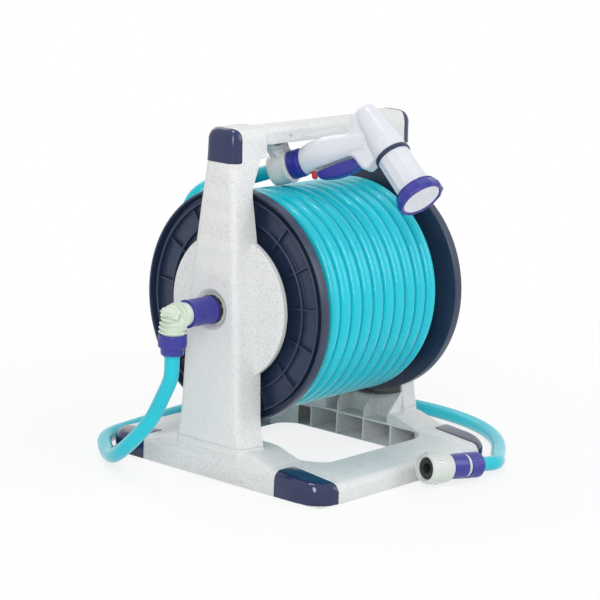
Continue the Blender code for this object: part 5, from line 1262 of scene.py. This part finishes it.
BARREL = NOZZLE @ at(0.138, 0, 0) @ spun(154.8, "Y")
UPRIGHT = NOZZLE @ spun(90, "X")
PIVOT = (0.1075, -0.0235)
GRIP_X = (0.02, 0.0225, 0.03, 0.042, 0.055, 0.072, 0.085, 0.118)
GRIP_TOP = (0.0188, 0.0204, 0.0228, 0.0252, 0.0258, 0.0242, 0.0215, 0.019)
GRIP_BOTTOM = (0.0183, 0.0188, 0.0188, 0.0181, 0.0174, 0.0158, 0.0148, 0.016)
GRIP_HALF = (0.0183, 0.0192, 0.0197, 0.02, 0.02, 0.0196, 0.019, 0.018)

rings = []
for x in np.linspace(GRIP_X[0], GRIP_X[-1], 50):
    top, bottom, half = (softly(x, GRIP_X, table, 0.004) for table in (GRIP_TOP, GRIP_BOTTOM, GRIP_HALF))
    ring = [(x, half * cosine, (top if sine > 0 else bottom) * sine) for cosine, sine in circle(64)]
    rings.append([NOZZLE @ Vector(point) for point in ring])
head = [(0, 0.026), (0.0236, 0.026), (0.0222, 0.002), (0.0198, -0.018), (0.0175, -0.038)]
head = turned(head + [(0.015, -0.05), (0, -0.0555)], BARREL, 96, False, 0.003)
neck = [(0.085, 0.018), (0.096, 0.019), (0.1005, 0.026), (0.102, 0.042), (0.122, 0.045)]
neck += [(0.146, 0.01), (0.14, -0.02), (0.1215, -0.0335), (0.115, -0.0375), (0.1085, -0.036)]
neck += [(0.1035, -0.029), (0.099, -0.019), (0.092, -0.0135), (0.085, -0.01)]
neck = slice_of(rounded_corners(neck, 0.006, steps=6, least=8), 0.027, UPRIGHT, 0.0055, 6)
slot = [(0.0365, -0.025), (0.0365, -0.0115), (0.064, -0.011), (0.092, -0.0105), (0.101, -0.0145)]
slot += [(0.108, -0.016), (0.1135, -0.0195), (0.114, -0.027), (0.11, -0.032), (0.106, -0.042)]
slot = slice_of(slot + [(0.08, -0.042), (0.04, -0.038)], 0.016, UPRIGHT)
lock_slot = slab((0.0255, -0.0043, -0.0313), (0.0348, 0.0043, -0.0157), NOZZLE)
head_bore = rod(0.0135, 0.04, -0.035, BARREL, 64)
changes = plus(head, neck) + less(slot, lock_slot, head_bore)
nozzle = worked(lofted(rings), *changes, voxel=0.0008, smoothing=4)
piece("nozzle_shell", "nozzle_body", "nozzle", "lavender_plastic", nozzle)

tail = [(0.006, 0.0197), (0.0184, 0.0197), (0.0192, 0.019), (0.0192, 0.0165), (0.0197, 0.016)]
tail += [(0.0199, 0.002), (0.0194, 0.0005), (0.0177, 0.0004), (0.0177, -0.028), (0.0167, -0.03)]
tail = turned(tail + [(0.006, -0.03)], GRIP, 96, back=0.0004)
piece("nozzle_tail", "nozzle_collar", "nozzle", "purple_plastic", tail)
lever = [(0.038, -0.0205), (0.064, -0.018), (0.092, -0.016), (0.101, -0.02), (0.1075, -0.0195)]
lever += [(0.111, -0.0225), (0.1105, -0.0265), (0.106, -0.029), (0.096, -0.0325), (0.08, -0.035)]
lever = rounded_corners(lever + [(0.062, -0.0355), (0.04, -0.031)], 0.006, steps=6, least=6)
pin_bore = rod(0.0018, -0.016, 0.016, UPRIGHT @ at(*PIVOT, 0), 24)
lever = worked(slice_of(lever, 0.015, UPRIGHT, 0.0024, 5), *less(pin_bore))
piece("trigger_lever", "trigger", "trigger", "purple_plastic", lever)
lock = slab((0.0292, -0.004, -0.0275), (0.0348, 0.004, -0.016), NOZZLE, 0.0014, 3)
piece("lock_button", "trigger_lock", "lock", "red_plastic", lock)

dark_band = band(0.0135, 0.0249, 0.0313, 0.0263, BARREL, 128, 0.0006)
piece("nozzle_dark_band", "nozzle_band", "nozzle", "navy_gloss_plastic", dark_band)
tube = [(0.0135, 0.099), (0.0226, 0.099), (0.0226, 0.0877), (0.024, 0.0877), (0.0239, 0.078)]
tube += [(0.0236, 0.07), (0.0232, 0.0376), (0.0228, 0.0316), (0.0135, 0.0316)]
tube = shaped_turn(tube, BARREL, 144, faceted(12, 0.0009, 0.034, 0.086, 0.02), 0.004)
piece("spray_tube", "spray_barrel", "spray_head", "lavender_plastic", tube)
rim = [(0.0275, 0.106), (0.031, 0.106), (0.0324, 0.1054), (0.0332, 0.104), (0.033, 0.099)]
rim += [(0.031, 0.0938), (0.0292, 0.0896), (0.0288, 0.088), (0.0234, 0.088), (0.0234, 0.1015)]
rim = shaped_turn(rim + [(0.0275, 0.1015)], BARREL, 144, faceted(12, 0.0014, 0.088, 0.1062, 0.0283), 0.003)
piece("spray_rim", "spray_ring", "spray_head", "purple_plastic", rim)
plate = [(0, 0.1042), (0.015, 0.1043), (0.0235, 0.1047), (0.0262, 0.105), (0.0272, 0.104)]
plate = turned(plate + [(0.0272, 0.1018), (0, 0.1018)], BARREL, 96, False, 0.0004)
jets = []
for count, radius in ((6, 0.004), (12, 0.0085), (18, 0.013), (24, 0.018)):
    jet = rod(0.00055, 0.1035, 0.106, at(radius, 0, 0), 8)
    jets.append(copies_round(jet, count, BARREL, "lavender_plastic"))
piece("spray_plate", "spray_face", "spray_head", "lavender_plastic", worked(plate, *less(*jets)))

# Tap connector at the end of the supply hose

TAP = at(*TAP_START) @ Vector(tap_way).to_track_quat("Z", "Y").to_matrix().to_4x4()
TAP_BORE = 0.008
nut_end = 0.024
ring_start, ring_end = nut_end + GAP, nut_end + GAP + 0.0047
sleeve_start, sleeve_end = ring_end + GAP, ring_end + GAP + 0.028
body_start, body_end = sleeve_end + GAP, sleeve_end + GAP + 0.0405
nut = [(TAP_BORE, nut_end), (0.0175, nut_end), (0.0175, 0.003), (0.0155, 0.0), (TAP_BORE, 0.0)]
nut = shaped_turn(nut, TAP, 144, gripped(24, 0.0005, 0.005, 0.0225, 0.017), 0.003)
sleeve = [(TAP_BORE, sleeve_end), (0.0162, sleeve_end), (0.0168, sleeve_start + 0.024)]
sleeve += [(0.0175, sleeve_start + 0.004), (0.0175, sleeve_start), (TAP_BORE, sleeve_start)]
seal = [(0.0075, -0.004), (0.0138, -0.004), (0.0147, -0.0055), (0.0147, -0.0237), (0.0075, -0.0237)]
seal = turned([(radius, body_end + z) for radius, z in seal], TAP)
housing = [(0.015, -0.003), (0.0166, -0.003), (0.0168, 0), (0.0182, 0), (0.0202, -0.0016)]
housing = [(radius, body_end + z) for radius, z in housing + [(0.0211, -0.005), (0.0214, -0.02)]]
housing += [(0.0211, body_start + 0.01), (0.02, body_start + 0.003), (0.0182, body_start)]
housing += [(TAP_BORE, body_start), (TAP_BORE, body_end - 0.024), (0.015, body_end - 0.024)]
tap_screws, cuts = [], []
for number in range(4):
    foot = TAP @ spun(35 + 90 * number, "Z") @ at(0.023, 0, body_end - 0.012) @ spun(90, "Y")
    cuts += less(rod(0.0017, -0.0128, 0.009, foot))
    tap_screws.append(cross_screw(foot, 0.0031, 0.0021, 0.0014, 0.0077))
housing = worked(turned(housing, TAP, 96, back=0.0012), *cuts, rounding=0.0003)
white_ring = band(TAP_BORE, 0.0163, ring_end, ring_start, TAP)
tap_pieces = [
    piece("tap_hose_nut", "tap_nut", "frame", "purple_plastic", nut),
    piece("tap_white_ring", "tap_ring", "frame", "white_plastic", white_ring),
    piece("tap_purple_sleeve", "tap_sleeve", "frame", "purple_plastic", turned(sleeve, TAP, 96, back=0.001)),
    piece("tap_housing", "tap_body", "frame", "white_plastic", housing),
    piece("tap_rubber", "tap_seal", "frame", "rubber", seal),
]
for number, shell in enumerate(tap_screws):
    tap_pieces.append(piece(f"tap_clamp_screw_{number}", f"tap_screw_{number}", "frame", "steel", shell))

# Finishes of the CAD nodes that show through gaps

for part in frame["record"]["subparts"]:
    held = frame["nodes"][part["node"]].data
    held.materials.clear()
    held.materials.append(FINISHES[part["material_slot"]])
